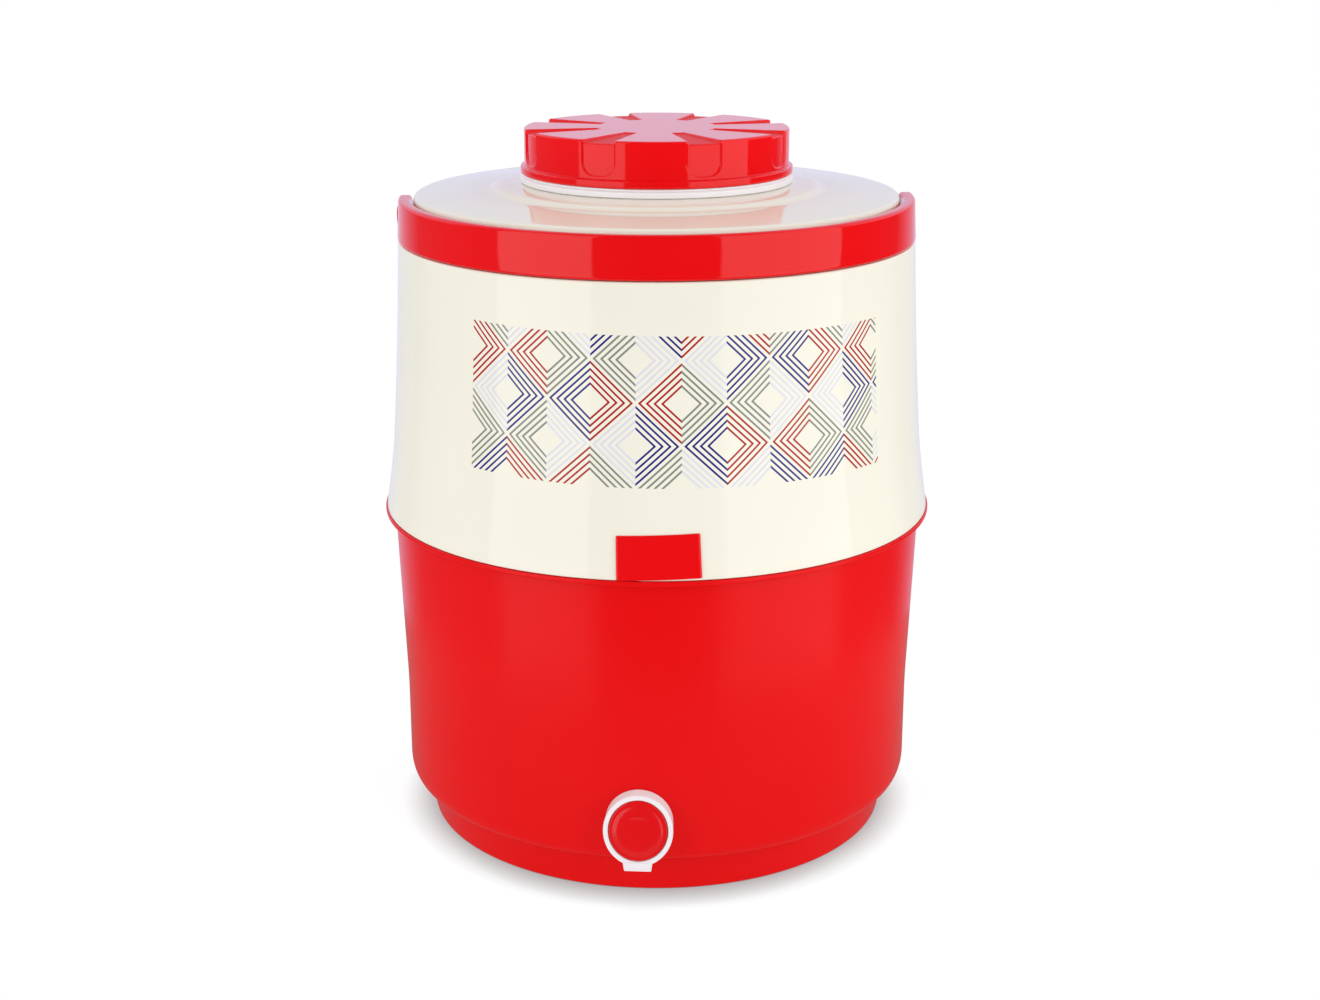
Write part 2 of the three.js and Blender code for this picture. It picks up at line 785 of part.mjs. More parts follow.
class Coil extends THREE.Curve {
  constructor(radius, fromOut, toOut, turns) {
    super();
    Object.assign(this, { radius, fromOut, toOut, turns });
  }

  getPoint(t) {
    const angle = 2 * Math.PI * this.turns * t;
    const out = this.fromOut + (this.toOut - this.fromOut) * t;
    return new THREE.Vector3(this.radius * Math.cos(angle), -out, tapHeight + this.radius * Math.sin(angle));
  }
}

// The return spring, one unbroken wire from the bay's floor to the button's flat seat.
function tapSpring() {
  const wire = springWire / 2;
  const section = new THREE.Shape();
  for (let i = 0; i < wireSides; i++) {
    const angle = i * 2 * Math.PI / wireSides;
    const corner = [wire * Math.cos(angle), wire * Math.sin(angle)];
    if (i === 0) section.moveTo(...corner);
    else section.lineTo(...corner);
  }
  const path = new Coil(springRadius, bayOut + fitGap + wire, springSeatOut - fitGap - wire, springTurns);
  return solid(new THREE.ExtrudeGeometry(section, { steps: springTurns * turnSteps, extrudePath: path }));
}

const tapSeal = () => tapRing(sealRadius, stemRadius + fitGap, sealOut - sealThickness, sealOut);

const tapGasket = () => tapRing(collarRadius, shankRadius + fitGap, padOut + fitGap, collarOut - fitGap);

const tapWasher = () =>
  tapRing(shankRadius + innerWasherWidth, shankRadius + fitGap, nutOut + fitGap, padInnerOut - fitGap);

// A six-sided nut with one round face towards the washer.
function tapNut() {
  const corner = (shankRadius + nutWall) / Math.cos(Math.PI / 6);
  const back = nutOut - nutThickness;
  return alongTap(corner, back, nutOut, 6)
    .subtract(alongTap(shankRadius + fitGap, back - overrun, nutOut + overrun));
}

// The whole jug

addPiece('lower_shell', lowerShell(), redPlastic);
addPiece('upper_shell', upperShell(), creamPlastic);
addPiece('inner_tank', innerTank(), linerPlastic);
addPiece('foam_insulation', foamFilling(), foamFill);
addPiece('neck_ring', neckRing(), whitePlastic);
addPiece('base_plug', basePlug(), redPlastic);
addPiece('label_plate', labelPlate(), redPlastic);
addPiece('cap_shell', capShell(), redPlastic);
addPiece('cap_plug', capPlug(), whitePlastic);
addPiece('cap_foam', capFoam(), foamFill);
addPiece('cap_gasket', capGasket(), rubber);

const handleGroup = new THREE.Group();
handleGroup.rotation.z = handleTurn;
group.add(handleGroup);
addPiece('handle', handleBail(), redPlastic, handleGroup);
for (const [side, word] of [[-1, 'left'], [1, 'right']]) {
  addPiece(`handle_pin_${word}`, handlePin(side), redPlastic, handleGroup);
  addPiece(`pin_clip_${word}`, pinClip(side), steel, handleGroup);
}

addPiece('tap_body', tapBody(), whitePlastic);
addPiece('tap_button', tapButton(), redPlastic);
addPiece('tap_stem', tapStem(), whitePlastic);
addPiece('tap_spring', tapSpring(), steel);
addPiece('tap_seal', tapSeal(), rubber);
addPiece('tap_gasket', tapGasket(), rubber);
addPiece('tap_washer', tapWasher(), rubber);
addPiece('tap_nut', tapNut(), whitePlastic);

export default group;
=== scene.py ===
# %% [markdown]
# # An insulated water jug
#
# The jug is two glossy moulded shells round a foam-insulated tank. A folding bail handle lies on a
# ledge under the dome, a screw cap closes the neck, and a push-button tap sits low on the front.
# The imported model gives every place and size. This script dresses it: each moulding that shows is
# made again with fine round surfaces and soft edges, and shader nodes work out every finish.

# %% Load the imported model
import json
import math

import bmesh
import bpy
from mathutils import Matrix, Vector


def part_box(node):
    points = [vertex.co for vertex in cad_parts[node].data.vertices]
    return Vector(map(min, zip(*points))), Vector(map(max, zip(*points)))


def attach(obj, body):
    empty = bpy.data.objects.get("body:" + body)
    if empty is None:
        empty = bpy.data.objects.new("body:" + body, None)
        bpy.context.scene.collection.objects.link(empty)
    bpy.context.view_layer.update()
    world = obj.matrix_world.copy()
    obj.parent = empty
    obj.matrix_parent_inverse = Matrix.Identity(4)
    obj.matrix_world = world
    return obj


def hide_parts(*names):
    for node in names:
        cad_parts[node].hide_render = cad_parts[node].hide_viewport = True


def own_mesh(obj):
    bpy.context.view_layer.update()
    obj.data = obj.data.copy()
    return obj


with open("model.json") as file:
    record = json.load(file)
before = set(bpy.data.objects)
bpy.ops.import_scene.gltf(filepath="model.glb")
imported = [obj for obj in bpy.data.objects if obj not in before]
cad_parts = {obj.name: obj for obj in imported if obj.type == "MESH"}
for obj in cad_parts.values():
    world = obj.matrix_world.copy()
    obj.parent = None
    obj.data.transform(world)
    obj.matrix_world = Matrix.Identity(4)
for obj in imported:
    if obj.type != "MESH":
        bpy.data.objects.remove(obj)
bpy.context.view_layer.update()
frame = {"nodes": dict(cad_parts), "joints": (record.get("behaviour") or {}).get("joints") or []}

# %% [markdown]
# ## Measures
#
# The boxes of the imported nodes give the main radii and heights, so this script follows the model if
# a size changes there. What a box can't tell, such as the place of a kink in a wall, is a step from
# one of those measures, in millimetres.

# %% Take the main measures from the nodes
MM = 0.001


def reach(node):
    """How far a round node reaches from the jug's axis."""
    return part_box(node)[1][0]


def bottom(node):
    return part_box(node)[0][2]


def top(node):
    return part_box(node)[1][2]


flange_radius = reach("lower_shell")
tub_radius = flange_radius - 9.8 * MM
seam_height = top("lower_shell") - 7 * MM
print(f"seam flange {flange_radius / MM:.1f} mm in radius at {seam_height / MM:.1f} mm")

# %% [markdown]
# ## Turned pieces
#
# Most of the jug is round, so most pieces are one outline spun about an axis. An outline is a list of
# corners, each with a radius, a height and a rounding, because a moulding has no sharp edge: light
# runs along a soft edge as a thin line, and that line is what makes plastic look real. A rounding
# never takes more than about half of a side, so two of them can't cross. Bmesh's spin makes the faces,
# and a full spin merges its last ring with its first.

# %% Outlines and the spin
UP = Vector((0, 0, 1))
TURN_STEPS = 240
CORNER_STEPS = 5
MOST_OF_SIDE = 0.49
MERGE_DISTANCE = 0.002 * MM


def curve(start, pull, end, steps):
    """Points along a curve from start to end, drawn towards a pull point."""
    points = []
    for i in range(steps + 1):
        t = i / steps
        points.append(tuple((1 - t) ** 2 * a + 2 * t * (1 - t) * b + t ** 2 * c
                            for a, b, c in zip(start, pull, end)))
    return points


def rounded(corners, closed=False):
    """An outline with its corners rounded. A corner is (radius, height) or (radius, height, rounding)."""
    points = []
    count = len(corners)
    for i, corner in enumerate(corners):
        tip = Vector(corner[:2])
        rounding = corner[2] if len(corner) > 2 else 0
        inner = closed or 0 < i < count - 1
        if not (rounding and inner):
            points.append(tuple(tip))
            continue
        before = Vector(corners[i - 1][:2]) - tip
        after = Vector(corners[(i + 1) % count][:2]) - tip
        start = tip + before.normalized() * min(rounding, before.length * MOST_OF_SIDE)
        end = tip + after.normalized() * min(rounding, after.length * MOST_OF_SIDE)
        points += curve(start, tip, end, CORNER_STEPS)
    return points


def turn(bm, geom, angle, steps, climb=0, **options):
    """Spins geometry about Z. Each step may also climb."""
    bmesh.ops.spin(bm, geom=geom, cent=(0, 0, 0), axis=UP, dvec=(0, 0, climb), angle=angle, steps=steps,
                   **options)


def spun(points, closed=False, steps=TURN_STEPS):
    """A bmesh of an outline of (radius, height) points, spun about Z."""
    bm = bmesh.new()
    verts = [bm.verts.new((radius, 0, height)) for radius, height in points]
    edges = [bm.edges.new(pair) for pair in zip(verts, verts[1:])]
    if closed:
        edges.append(bm.edges.new((verts[-1], verts[0])))
    turn(bm, verts + edges, math.tau, steps, use_merge=True)
    bmesh.ops.remove_doubles(bm, verts=bm.verts, dist=MERGE_DISTANCE)
    bmesh.ops.recalc_face_normals(bm, faces=bm.faces)
    return bm


def place(bm, *moves):
    """Moves a bmesh by matrices, the first one first."""
    for move in moves:
        bmesh.ops.transform(bm, matrix=move, verts=bm.verts)
    return bm


# %% [markdown]
# ## Pieces
#
# A finished piece needs the same few things each time: a mesh with smooth faces that still keeps its
# crisp edges, an object at the origin, a finish, the body that it rides on, and the node that it
# stands for. One function does them all, so that no piece misses one. Another joins one shape to a
# piece or cuts it away, for forms that a spin can't make, such as the tap's square outlet.

# %% Make a piece, and join or cut shapes
EDGE_ANGLE = math.radians(32)


def linked(name, data):
    """A new object at the origin, linked to the scene."""
    thing = bpy.data.objects.new(name, data)
    bpy.context.scene.collection.objects.link(thing)
    return thing


def raw(name, bm):
    """An object from a bmesh, not yet a piece of the jug."""
    mesh = bpy.data.meshes.new(name)
    bm.to_mesh(mesh)
    bm.free()
    return linked(name, mesh)


def reshape(thing, tool_bm, operation):
    """Joins a shape to an object ('UNION') or cuts it away ('DIFFERENCE')."""
    tool = raw("tool", tool_bm)
    boolean = thing.modifiers.new("boolean", "BOOLEAN")
    boolean.operation = operation
    boolean.solver = "EXACT"
    boolean.object = tool
    drawn = thing.evaluated_get(bpy.context.evaluated_depsgraph_get())
    mesh = bpy.data.meshes.new_from_object(drawn)
    thing.modifiers.remove(boolean)
    thing.data = mesh
    bpy.data.objects.remove(tool)


def piece(thing, body, slot, look, *nodes):
    """Finishes an object as a piece of the jug that rides on a body and stands for CAD nodes."""
    mesh = thing.data
    mesh.shade_smooth()
    mesh.set_sharp_from_angle(angle=EDGE_ANGLE)
    mesh.materials.clear()
    mesh.materials.append(look)
    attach(thing, body)
    if nodes:
        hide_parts(*nodes)
    print(f"{thing.name}: {len(mesh.polygons)} faces")


# %% [markdown]
# ## Shader sums
#
# A finish is mostly arithmetic on the place of a point: how far round the jug, how high, how near to
# a line of the print. Written as Math nodes that is unreadable, so a small class wraps a socket, and
# each Python operator adds the node that does it. Its reflected forms make 1 - mask work too. One
# method makes every other kind of node.

# %% The socket class
class Value:
    """A shader socket that Python operators can work with."""

    def __init__(self, finish, socket):
        self.finish = finish
        self.socket = socket

    def maths(self, operation, *values):
        return self.finish.node("Math", {"operation": operation}, *values)

    def __add__(self, other):
        return self.maths("ADD", self, other)

    __radd__ = __add__

    def __sub__(self, other):
        return self.maths("SUBTRACT", self, other)

    def __rsub__(self, other):
        return self.maths("SUBTRACT", other, self)

    def __mul__(self, other):
        return self.maths("MULTIPLY", self, other)

    __rmul__ = __mul__

    def __truediv__(self, other):
        return self.maths("DIVIDE", self, other)

    def __rtruediv__(self, other):
        return self.maths("DIVIDE", other, self)

    def __mod__(self, other):
        return self.maths("FLOORED_MODULO", self, other)

    def __abs__(self):
        return self.maths("ABSOLUTE", self)

    def __gt__(self, other):
        return self.maths("GREATER_THAN", self, other)

    def __lt__(self, other):
        return self.maths("LESS_THAN", self, other)

    def floor(self):
        return self.maths("FLOOR", self)

    def larger(self, other):
        return self.maths("MAXIMUM", self, other)

    def smaller(self, other):
        return self.maths("MINIMUM", self, other)

    def limited(self):
        return self.larger(0).smaller(1)


# %% The finish class
class Finish:
    """The nodes of a material or a world, made as they are needed."""

    def __init__(self, owner):
        self.owner = owner
        owner.use_nodes = True
        self.tree = owner.node_tree
        self.tree.nodes.clear()

    def node(self, kind, settings=None, *values, **named):
        """Adds a node: its type, its settings, then the values or links of its sockets."""
        made = self.tree.nodes.new("ShaderNode" + kind)
        for key, setting in (settings or {}).items():
            setattr(made, key, setting)
        sockets = [(made.inputs[i], value) for i, value in enumerate(values)]
        sockets += [(made.inputs[key.replace("_", " ")], value) for key, value in named.items()]
        for socket, value in sockets:
            if isinstance(value, Value):
                self.tree.links.new(value.socket, socket)
            elif value is not None:
                socket.default_value = value
        return Value(self, next((out for out in made.outputs if out.enabled), None))

    def output(self, value, name):
        """Another output of the node that a value comes from."""
        return Value(self, value.socket.node.outputs[name])

    def coordinates(self):
        """The point's place on the piece, in metres, as a vector and as x, y and z."""
        point = self.output(self.node("TexCoord"), "Object")
        parts = self.node("SeparateXYZ", None, point)
        return point, *(self.output(parts, axis) for axis in "XYZ")

    def noise(self, point, scale, detail=2):
        return self.node("TexNoise", None, Vector=point, Scale=scale, Detail=detail)

    def mixed(self, share, first, second):
        """A colour between two others. A Mix node has its colours in sockets 6 and 7."""
        mix = self.node("Mix", {"data_type": "RGBA"})
        made = mix.socket.node
        for index, value in ((0, share), (6, first), (7, second)):
            if isinstance(value, Value):
                self.tree.links.new(value.socket, made.inputs[index])
            else:
                made.inputs[index].default_value = value
        return Value(self, made.outputs[2])

    def bump(self, height, depth, strength=1.0, over=None):
        return self.node("Bump", None, Strength=strength, Distance=depth, Height=height, Normal=over)

    def surface(self, **sockets):
        shader = self.node("BsdfPrincipled", None, **sockets)
        self.node("OutputMaterial", None, shader)
        return self.owner


def material(name):
    return Finish(bpy.data.materials.new(name))


def sRGB(red, green, blue):
    """A colour from its usual 0 to 255 values, as the linear values that a shader takes."""
    return tuple((c / 255 / 12.92 if c / 255 <= 0.04045 else ((c / 255 + 0.055) / 1.055) ** 2.4)
                 for c in (red, green, blue)) + (1,)


# %% [markdown]
# ## Glossy moulded plastic
#
# The shells, cap and handle are injection mouldings in polypropylene, with a mirror-like skin. What
# tells it from glass is what the skin does to a reflection: the wall has slow waves where it shrank
# over the mould, a very fine orange peel, a slight haze, and faint rubs from handling. Each is a noise
# of its own scale, and all are so slight that the cap still throws a sharp mirror image on the dome.
# The colour is cloudy by a few hundredths. A piece may also have print on it, or matt places.

# %% The skin of a moulding
CLOUD_SCALE = 9
CLOUD_SHADE = 0.95
HAZE_SCALE = 26
HAZE = 0.03
RUB_SCALE = (60, 60, 420)
RUB_START = 0.6
RUB = 0.15
WAVE_SCALE = 11
WAVE_DEPTH = 0.12 * MM
PEEL_SCALE = 1400
PEEL_DEPTH = 0.015 * MM
MATT = 0.5
PLASTIC_IOR = 1.49


def skin_roughness(finish, point):
    haze = finish.noise(point, HAZE_SCALE, 3) * HAZE
    streaks = finish.noise(finish.node("Mapping", None, Vector=point, Scale=RUB_SCALE), 1.0, 4)
    return haze + (streaks - RUB_START).larger(0) * RUB


def skin_relief(finish, point):
    waves = finish.bump(finish.noise(point, WAVE_SCALE, 1), WAVE_DEPTH, 0.5)
    return finish.bump(finish.noise(point, PEEL_SCALE, 2), PEEL_DEPTH, 0.1, over=waves)


def moulded(name, colour, gloss, level=0.5, ink=None, matt=None):
    """Moulded plastic of one colour. Functions may add ink and say where it is matt."""
    finish = material(name)
    point, x, y, z = finish.coordinates()
    cloud = (finish.noise(point, CLOUD_SCALE, 3) * 1.6 - 0.3).limited()
    shade = tuple(c * CLOUD_SHADE for c in colour[:3]) + (1,)
    skin = finish.mixed(cloud, colour, shade)
    if ink:
        skin = ink(finish, skin, x, y, z)
    roughness = skin_roughness(finish, point) + gloss
    if matt:
        roughness = roughness + matt(x, y, z) * MATT
    print(f"{name}: gloss {gloss}")
    return finish.surface(Base_Color=skin, Roughness=roughness, Normal=skin_relief(finish, point),
                          IOR=PLASTIC_IOR, Specular_IOR_Level=level)


# %% [markdown]
# ## The colours of the jug
#
# The tub and the button are moulded in the same red as the handle, but their tools were left satin, so
# they mirror more softly, and the tub less. The red is a little deeper on them. The neck's ring is a
# lighter white than the tap, as painted light that makes up for the shade under the cap's flange, and
# the tank inside is a duller white than the tap.

# %% Mix the plain plastics
RED = sRGB(235, 7, 11)
SATIN_RED = sRGB(231, 6, 10)
BUTTON_RED = sRGB(226, 5, 9)
# painted light: the cap's red is lighter than the handle's, though both are one plastic, to stand in for
# light that the cap's side lacks
CAP_RED_PAINTED_LIGHTER = sRGB(243, 8, 12)
CREAM = sRGB(244, 241, 226)
WHITE = sRGB(242, 239, 243)
# painted light: the ring's white is lighter than the tap's to make up for the shade under the cap's flange
RING_WHITE_PAINTED_LIGHTER = sRGB(254, 250, 252)
LINER_WHITE = sRGB(233, 231, 221)

red_plastic = moulded("red_plastic", RED, 0.05)
tub_plastic = moulded("red_satin_plastic", SATIN_RED, 0.22, level=0.18)
button_plastic = moulded("red_button_plastic", BUTTON_RED, 0.16, level=0.6)
white_plastic = moulded("white_plastic", WHITE, 0.2)
ring_plastic_painted_lighter = moulded("ring_white_plastic_painted_lighter", RING_WHITE_PAINTED_LIGHTER, 0.2)
liner_plastic = moulded("liner_plastic", LINER_WHITE, 0.38)

# %% [markdown]
# ## The print
#
# A band of fine lines is printed on the cream shell: nested lozenges, drawn by bundles of four thin
# lines in dark blue, red, grey and pale lavender. The print is arithmetic on the place of a point: the
# angle round the jug gives the distance along the band, and two slanting counts, one rising and one
# falling, cut the band into lozenges. In a lozenge, the distance from its nearest side says which
# of the four lines, if any, the point lies on. The two counts' whole parts and the half of the lozenge
# choose the ink, so that neighbours differ. Object coordinates keep the lines fine on any mesh.

# %% The lozenge lines
PRINT_START = math.radians(-36.5)
PRINT_END = math.radians(55.4)
PRINT_LOW = 246 * MM
PRINT_HIGH = 328 * MM
PRINT_RADIUS = 156.5 * MM
PRINT_LENGTH = (PRINT_END - PRINT_START) * PRINT_RADIUS
PRINT_SLOPE = -0.014
LOZENGE_WIDTH = 49.2 * MM
LOZENGE_HEIGHT = 46 * MM
LINE_PITCH = 2.8 * MM
LINE_WIDTH = 1.05 * MM
LINE_SOFTNESS = 0.12 * MM
LINES = 4
INKS = (sRGB(28, 14, 128), sRGB(176, 8, 16), sRGB(132, 136, 128), sRGB(220, 220, 233))


def lozenge_print(finish, skin, x, y, z):
    """Lays the print's inks over the skin's colour."""
    angle = finish.node("Math", {"operation": "ARCTAN2"}, x, 0 - y)
    along = (angle - PRINT_START) * PRINT_RADIUS
    height = z - PRINT_LOW - (along - PRINT_LENGTH / 2) * PRINT_SLOPE
    rising = along / LOZENGE_WIDTH + height / LOZENGE_HEIGHT
    falling = along / LOZENGE_WIDTH - height / LOZENGE_HEIGHT
    first = abs(rising % 1 - 0.5)
    second = abs(falling % 1 - 0.5)
    side = 1 / math.hypot(1 / LOZENGE_WIDTH, 1 / LOZENGE_HEIGHT)
    from_edge = (0.5 - first.larger(second)) * side
    line = abs(from_edge % LINE_PITCH - LINE_PITCH / 2)
    on_line = (LINE_WIDTH / 2 - line) / LINE_SOFTNESS + 0.5
    in_bundle = from_edge < LINES * LINE_PITCH
    in_band = ((angle > PRINT_START) * (angle < PRINT_END)
               * (height > 0) * (height < PRINT_HIGH - PRINT_LOW))
    mask = on_line.limited() * in_bundle * in_band
    right_half = (rising % 1 + falling % 1) > 1
    number = (rising.floor() * 2 + falling.floor() * 3 + right_half) % len(INKS)
    ink = INKS[0]
    for i, next_ink in enumerate(INKS[1:], 1):
        ink = finish.mixed(number > i - 0.5, ink, next_ink)
    return finish.mixed(mask, skin, ink)


cream_plastic = moulded("cream_plastic", CREAM, 0.04, ink=lozenge_print)
print(f"print: {PRINT_LENGTH / MM:.0f} by {(PRINT_HIGH - PRINT_LOW) / MM:.0f} mm")

# %% [markdown]
# ## Foam, rubber and steel
#
# These lie inside. Foam made in place is a froth of small cells with a skin. Rubber is matt and a
# little dusty. The clips are stamped from strip and the spring is drawn wire, so both have fine lines
# along the metal.

# %% The inner finishes
def foam_finish():
    finish = material("foam")
    point, *_ = finish.coordinates()
    cells = finish.node("TexVoronoi", None, Vector=point, Scale=420.0)
    colour = finish.mixed(cells.limited(), sRGB(236, 224, 178), sRGB(206, 190, 138))
    return finish.surface(Base_Color=colour, Roughness=0.9, Normal=finish.bump(cells, 0.4 * MM))


def rubber_finish():
    finish = material("rubber")
    point, *_ = finish.coordinates()
    dust = finish.noise(point, 240, 4)
    colour = finish.mixed(dust, sRGB(98, 100, 102), sRGB(122, 124, 126))
    return finish.surface(Base_Color=colour, Roughness=dust * 0.2 + 0.6,
                          Normal=finish.bump(dust, 0.05 * MM, 0.4))


def steel_finish():
    finish = material("steel")
    point, *_ = finish.coordinates()
    drawn = finish.noise(finish.node("Mapping", None, Vector=point, Scale=(3000, 300, 300)), 1.0, 3)
    return finish.surface(Base_Color=sRGB(196, 198, 202), Metallic=1.0, Roughness=drawn * 0.2 + 0.2,
                          Normal=finish.bump(drawn, 0.02 * MM, 0.3))


foam = foam_finish()
rubber = rubber_finish()
steel = steel_finish()
print("inner finishes:", foam.name, rubber.name, steel.name)

# %% [markdown]
# ## The tub
#
# The red lower shell stands on a narrow foot ring. Above the ring the wall steps out in a soft belly,
# rises straight, flares a little and ends in the thin flange that the seam shows as a red line. A
# short spigot above the flange goes up inside the cream shell. It is one closed outline, outside up
# and inside down, so that the foot ring's hollow underside is there too.

# %% Draw the tub's outline
SHELL_WALL = 2.6 * MM


def tub_outline():
    foot = tub_radius - 14.5 * MM
    foot_top = tub_radius - 11.4 * MM
    foot_height = 22 * MM
    belly = (tub_radius - 4.4 * MM, 24.3 * MM)
    wall = 34 * MM
    taper = 84 * MM
    rim = flange_radius - 5.7 * MM
    flange_low = seam_height - 3 * MM
    base = 8 * MM
    inside = foot_top - SHELL_WALL
    return rounded([
        (0, base),
        (foot - 5 * MM, base, 1.5 * MM),
        (foot - 5 * MM, 0, 1.2 * MM),
        (foot, 0, 1.4 * MM),
        (foot_top, foot_height, 0.9 * MM),
        (*belly, 0.8 * MM),
        *curve(belly, (tub_radius - 0.4 * MM, 25.5 * MM), (tub_radius, wall), 8)[1:],
        (tub_radius, taper, 8 * MM),
        (rim, flange_low, 1.2 * MM),
        (flange_radius, flange_low + 0.2 * MM, 1.1 * MM),
        (flange_radius, seam_height, 0.6 * MM),
        (rim, seam_height, 0.4 * MM),
        (rim, top("lower_shell"), 0.6 * MM),
        (rim - SHELL_WALL, top("lower_shell"), 0.6 * MM),
        (rim - SHELL_WALL, flange_low, 1 * MM),
        (tub_radius - SHELL_WALL, taper, 6 * MM),
        (tub_radius - SHELL_WALL, wall, 2 * MM),
        (belly[0] - SHELL_WALL, belly[1] + SHELL_WALL, 1 * MM),
        (inside, foot_height + SHELL_WALL, 1 * MM),
        (inside, base + SHELL_WALL, 1.5 * MM),
        (0, base + SHELL_WALL),
    ])


# %% [markdown]
# The tap's barrel goes through the tub's wall, so a hole of its shape is cut there: a cylinder, spun
# upright, laid down towards the front and squeezed from side to side as the barrel is. The tap's
# measures come from its node's box.

# %% Spin the tub and cut the tap's hole
TAP_STEPS = 144
BARREL_SQUEEZE = 0.95
QUARTER = math.radians(90)
tap_low, tap_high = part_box("tap_body")
tap_radius = tap_high[0]
tap_height = tap_high[2] - tap_radius
barrel_radius = tap_radius - 1.3 * MM
to_tap = (Matrix.Rotation(QUARTER, 4, "X"), Matrix.Translation((0, 0, tap_height)))


def tap_hole():
    radius = barrel_radius + 0.05 * MM
    start = tub_radius - 20 * MM
    end = tub_radius + 20 * MM
    hole = spun([(0, start), (radius, start), (radius, end), (0, end)], steps=TAP_STEPS)
    return place(hole, *to_tap, Matrix.Diagonal((BARREL_SQUEEZE, 1, 1, 1)))


tub = raw("tub", spun(tub_outline()))
reshape(tub, tap_hole(), "DIFFERENCE")
piece(tub, "jug", "red_plastic", tub_plastic, "lower_shell")

# %% [markdown]
# ## The cream shell
#
# The upper shell flares out at its lip to meet the flange, and draws in towards a flat ledge where the
# handle lies. Inside the ledge a straight rebate rises to the dome, whose rim is softly rounded. The
# dome climbs gently to a low step, and the neck's ring sits on the flat that the step leaves.

# %% Measure the cream shell and draw its side
lip_radius = reach("upper_shell")
lip_height = bottom("upper_shell")
collar_height = top("upper_shell")
waist = (lip_radius - 5.8 * MM, lip_height + 43.9 * MM)
ledge = (waist[0] - 6.4 * MM, waist[1] + 116.5 * MM)
rebate_radius = ledge[0] - 9.7 * MM
dome_edge = ledge[1] + 25.9 * MM
side_line = (
    curve((lip_radius, lip_height), (lip_radius - 4.6 * MM, lip_height + 28.9 * MM), waist, 14)
    + curve(waist, (waist[0] - 4.4 * MM, waist[1] + 60 * MM), ledge, 16)[1:]
)


def side_radius(height):
    """The cream shell's radius at a height."""
    for (r0, z0), (r1, z1) in zip(side_line, side_line[1:]):
        if height <= z1:
            return r0 + (r1 - r0) * max(0, height - z0) / (z1 - z0)
    return side_line[-1][0]


print(f"cream shell: side from {lip_radius / MM:.1f} to {ledge[0] / MM:.1f} mm in radius")


# %% Draw its dome and spin the shell
NECK_SHANK_INSET = 7 * MM
FIT_GAP = 0.3 * MM


def dome_outline(drop):
    """From the rebate over the dome to the step, or the same line under the skin."""
    wall = rebate_radius - drop
    edge = dome_edge - drop
    step = reach("neck_ring") + 18.5 * MM - drop
    foot = edge + 2.4 * MM
    return [
        (wall, edge, 3.6 * MM),
        (step, foot, 2.4 * MM),
        (step - 4.1 * MM, foot + 2.5 * MM, 2 * MM),
    ]


def cream_outline():
    opening = reach("neck_ring") - NECK_SHANK_INSET + FIT_GAP
    side = side_line[1:-1]
    inside = [(radius - SHELL_WALL, height) for radius, height in reversed(side)]
    return rounded([
        (*side_line[0], 0.5 * MM),
        *side,
        (*ledge, 1.6 * MM),
        (rebate_radius, ledge[1], 0.8 * MM),
        *dome_outline(0),
        (reach("neck_ring"), collar_height, 0.6 * MM),
        (opening, collar_height, 0.4 * MM),
        (opening, collar_height - SHELL_WALL, 0.4 * MM),
        *reversed(dome_outline(SHELL_WALL)),
        (rebate_radius - SHELL_WALL, ledge[1] - SHELL_WALL, 1 * MM),
        (ledge[0] - SHELL_WALL, ledge[1] - SHELL_WALL, 1 * MM),
        *inside,
        (lip_radius - SHELL_WALL, lip_height, 0.5 * MM),
    ], closed=True)


piece(raw("cream_shell", spun(cream_outline(), closed=True)),
      "jug", "cream_plastic", cream_plastic, "upper_shell")

# %% [markdown]
# ## The neck's ring
#
# A white ring trims the mouth. Its foot is cut under a little, which leaves a fine dark line on the
# shell. A groove runs round its flange, and above it a low step carries the cap's skirt.

# %% Spin the ring
neck_radius = reach("neck_ring")


def ring_outline():
    sleeve_inside = neck_radius - 10.8 * MM
    sleeve = neck_radius - 8 * MM
    shank = neck_radius - NECK_SHANK_INSET
    undercut = neck_radius - 1.2 * MM
    groove_floor = neck_radius - 1.7 * MM
    step_radius = neck_radius - 0.8 * MM
    low = collar_height + 0.04 * MM
    groove = low + 4 * MM
    step = groove + 1.3 * MM
    return rounded([
        (sleeve_inside, bottom("neck_ring")),
        (shank, bottom("neck_ring"), 0.5 * MM),
        (shank, low, 0.3 * MM),
        (undercut, low, 0.2 * MM),
        (undercut, low + 0.4 * MM, 0.2 * MM),
        (neck_radius, low + 0.5 * MM, 0.3 * MM),
        (neck_radius, groove - 0.6 * MM, 0.7 * MM),
        (groove_floor, groove - 0.2 * MM, 0.2 * MM),
        (groove_floor, groove + 0.1 * MM, 0.2 * MM),
        (step_radius, groove + 0.2 * MM, 0.4 * MM),
        (step_radius, step, 0.4 * MM),
        (sleeve, step, 0.5 * MM),
        (sleeve, top("neck_ring"), 0.6 * MM),
        (sleeve_inside, top("neck_ring"), 0.6 * MM),
    ], closed=True)


piece(raw("neck_trim", spun(ring_outline(), closed=True)),
      # the ring's lighter white is painted light against the shade under the cap's flange
      "jug", "white_plastic", ring_plastic_painted_lighter, "neck_ring")

# %% [markdown]
# The sleeve that rises from the ring into the cap has the screw thread: a small wedge spun round the
# axis while it climbs, which bmesh's spin does when it is given a step along the axis.

# %% Spin the thread
THREAD_PITCH = 6 * MM
THREAD_TURNS = 1.5


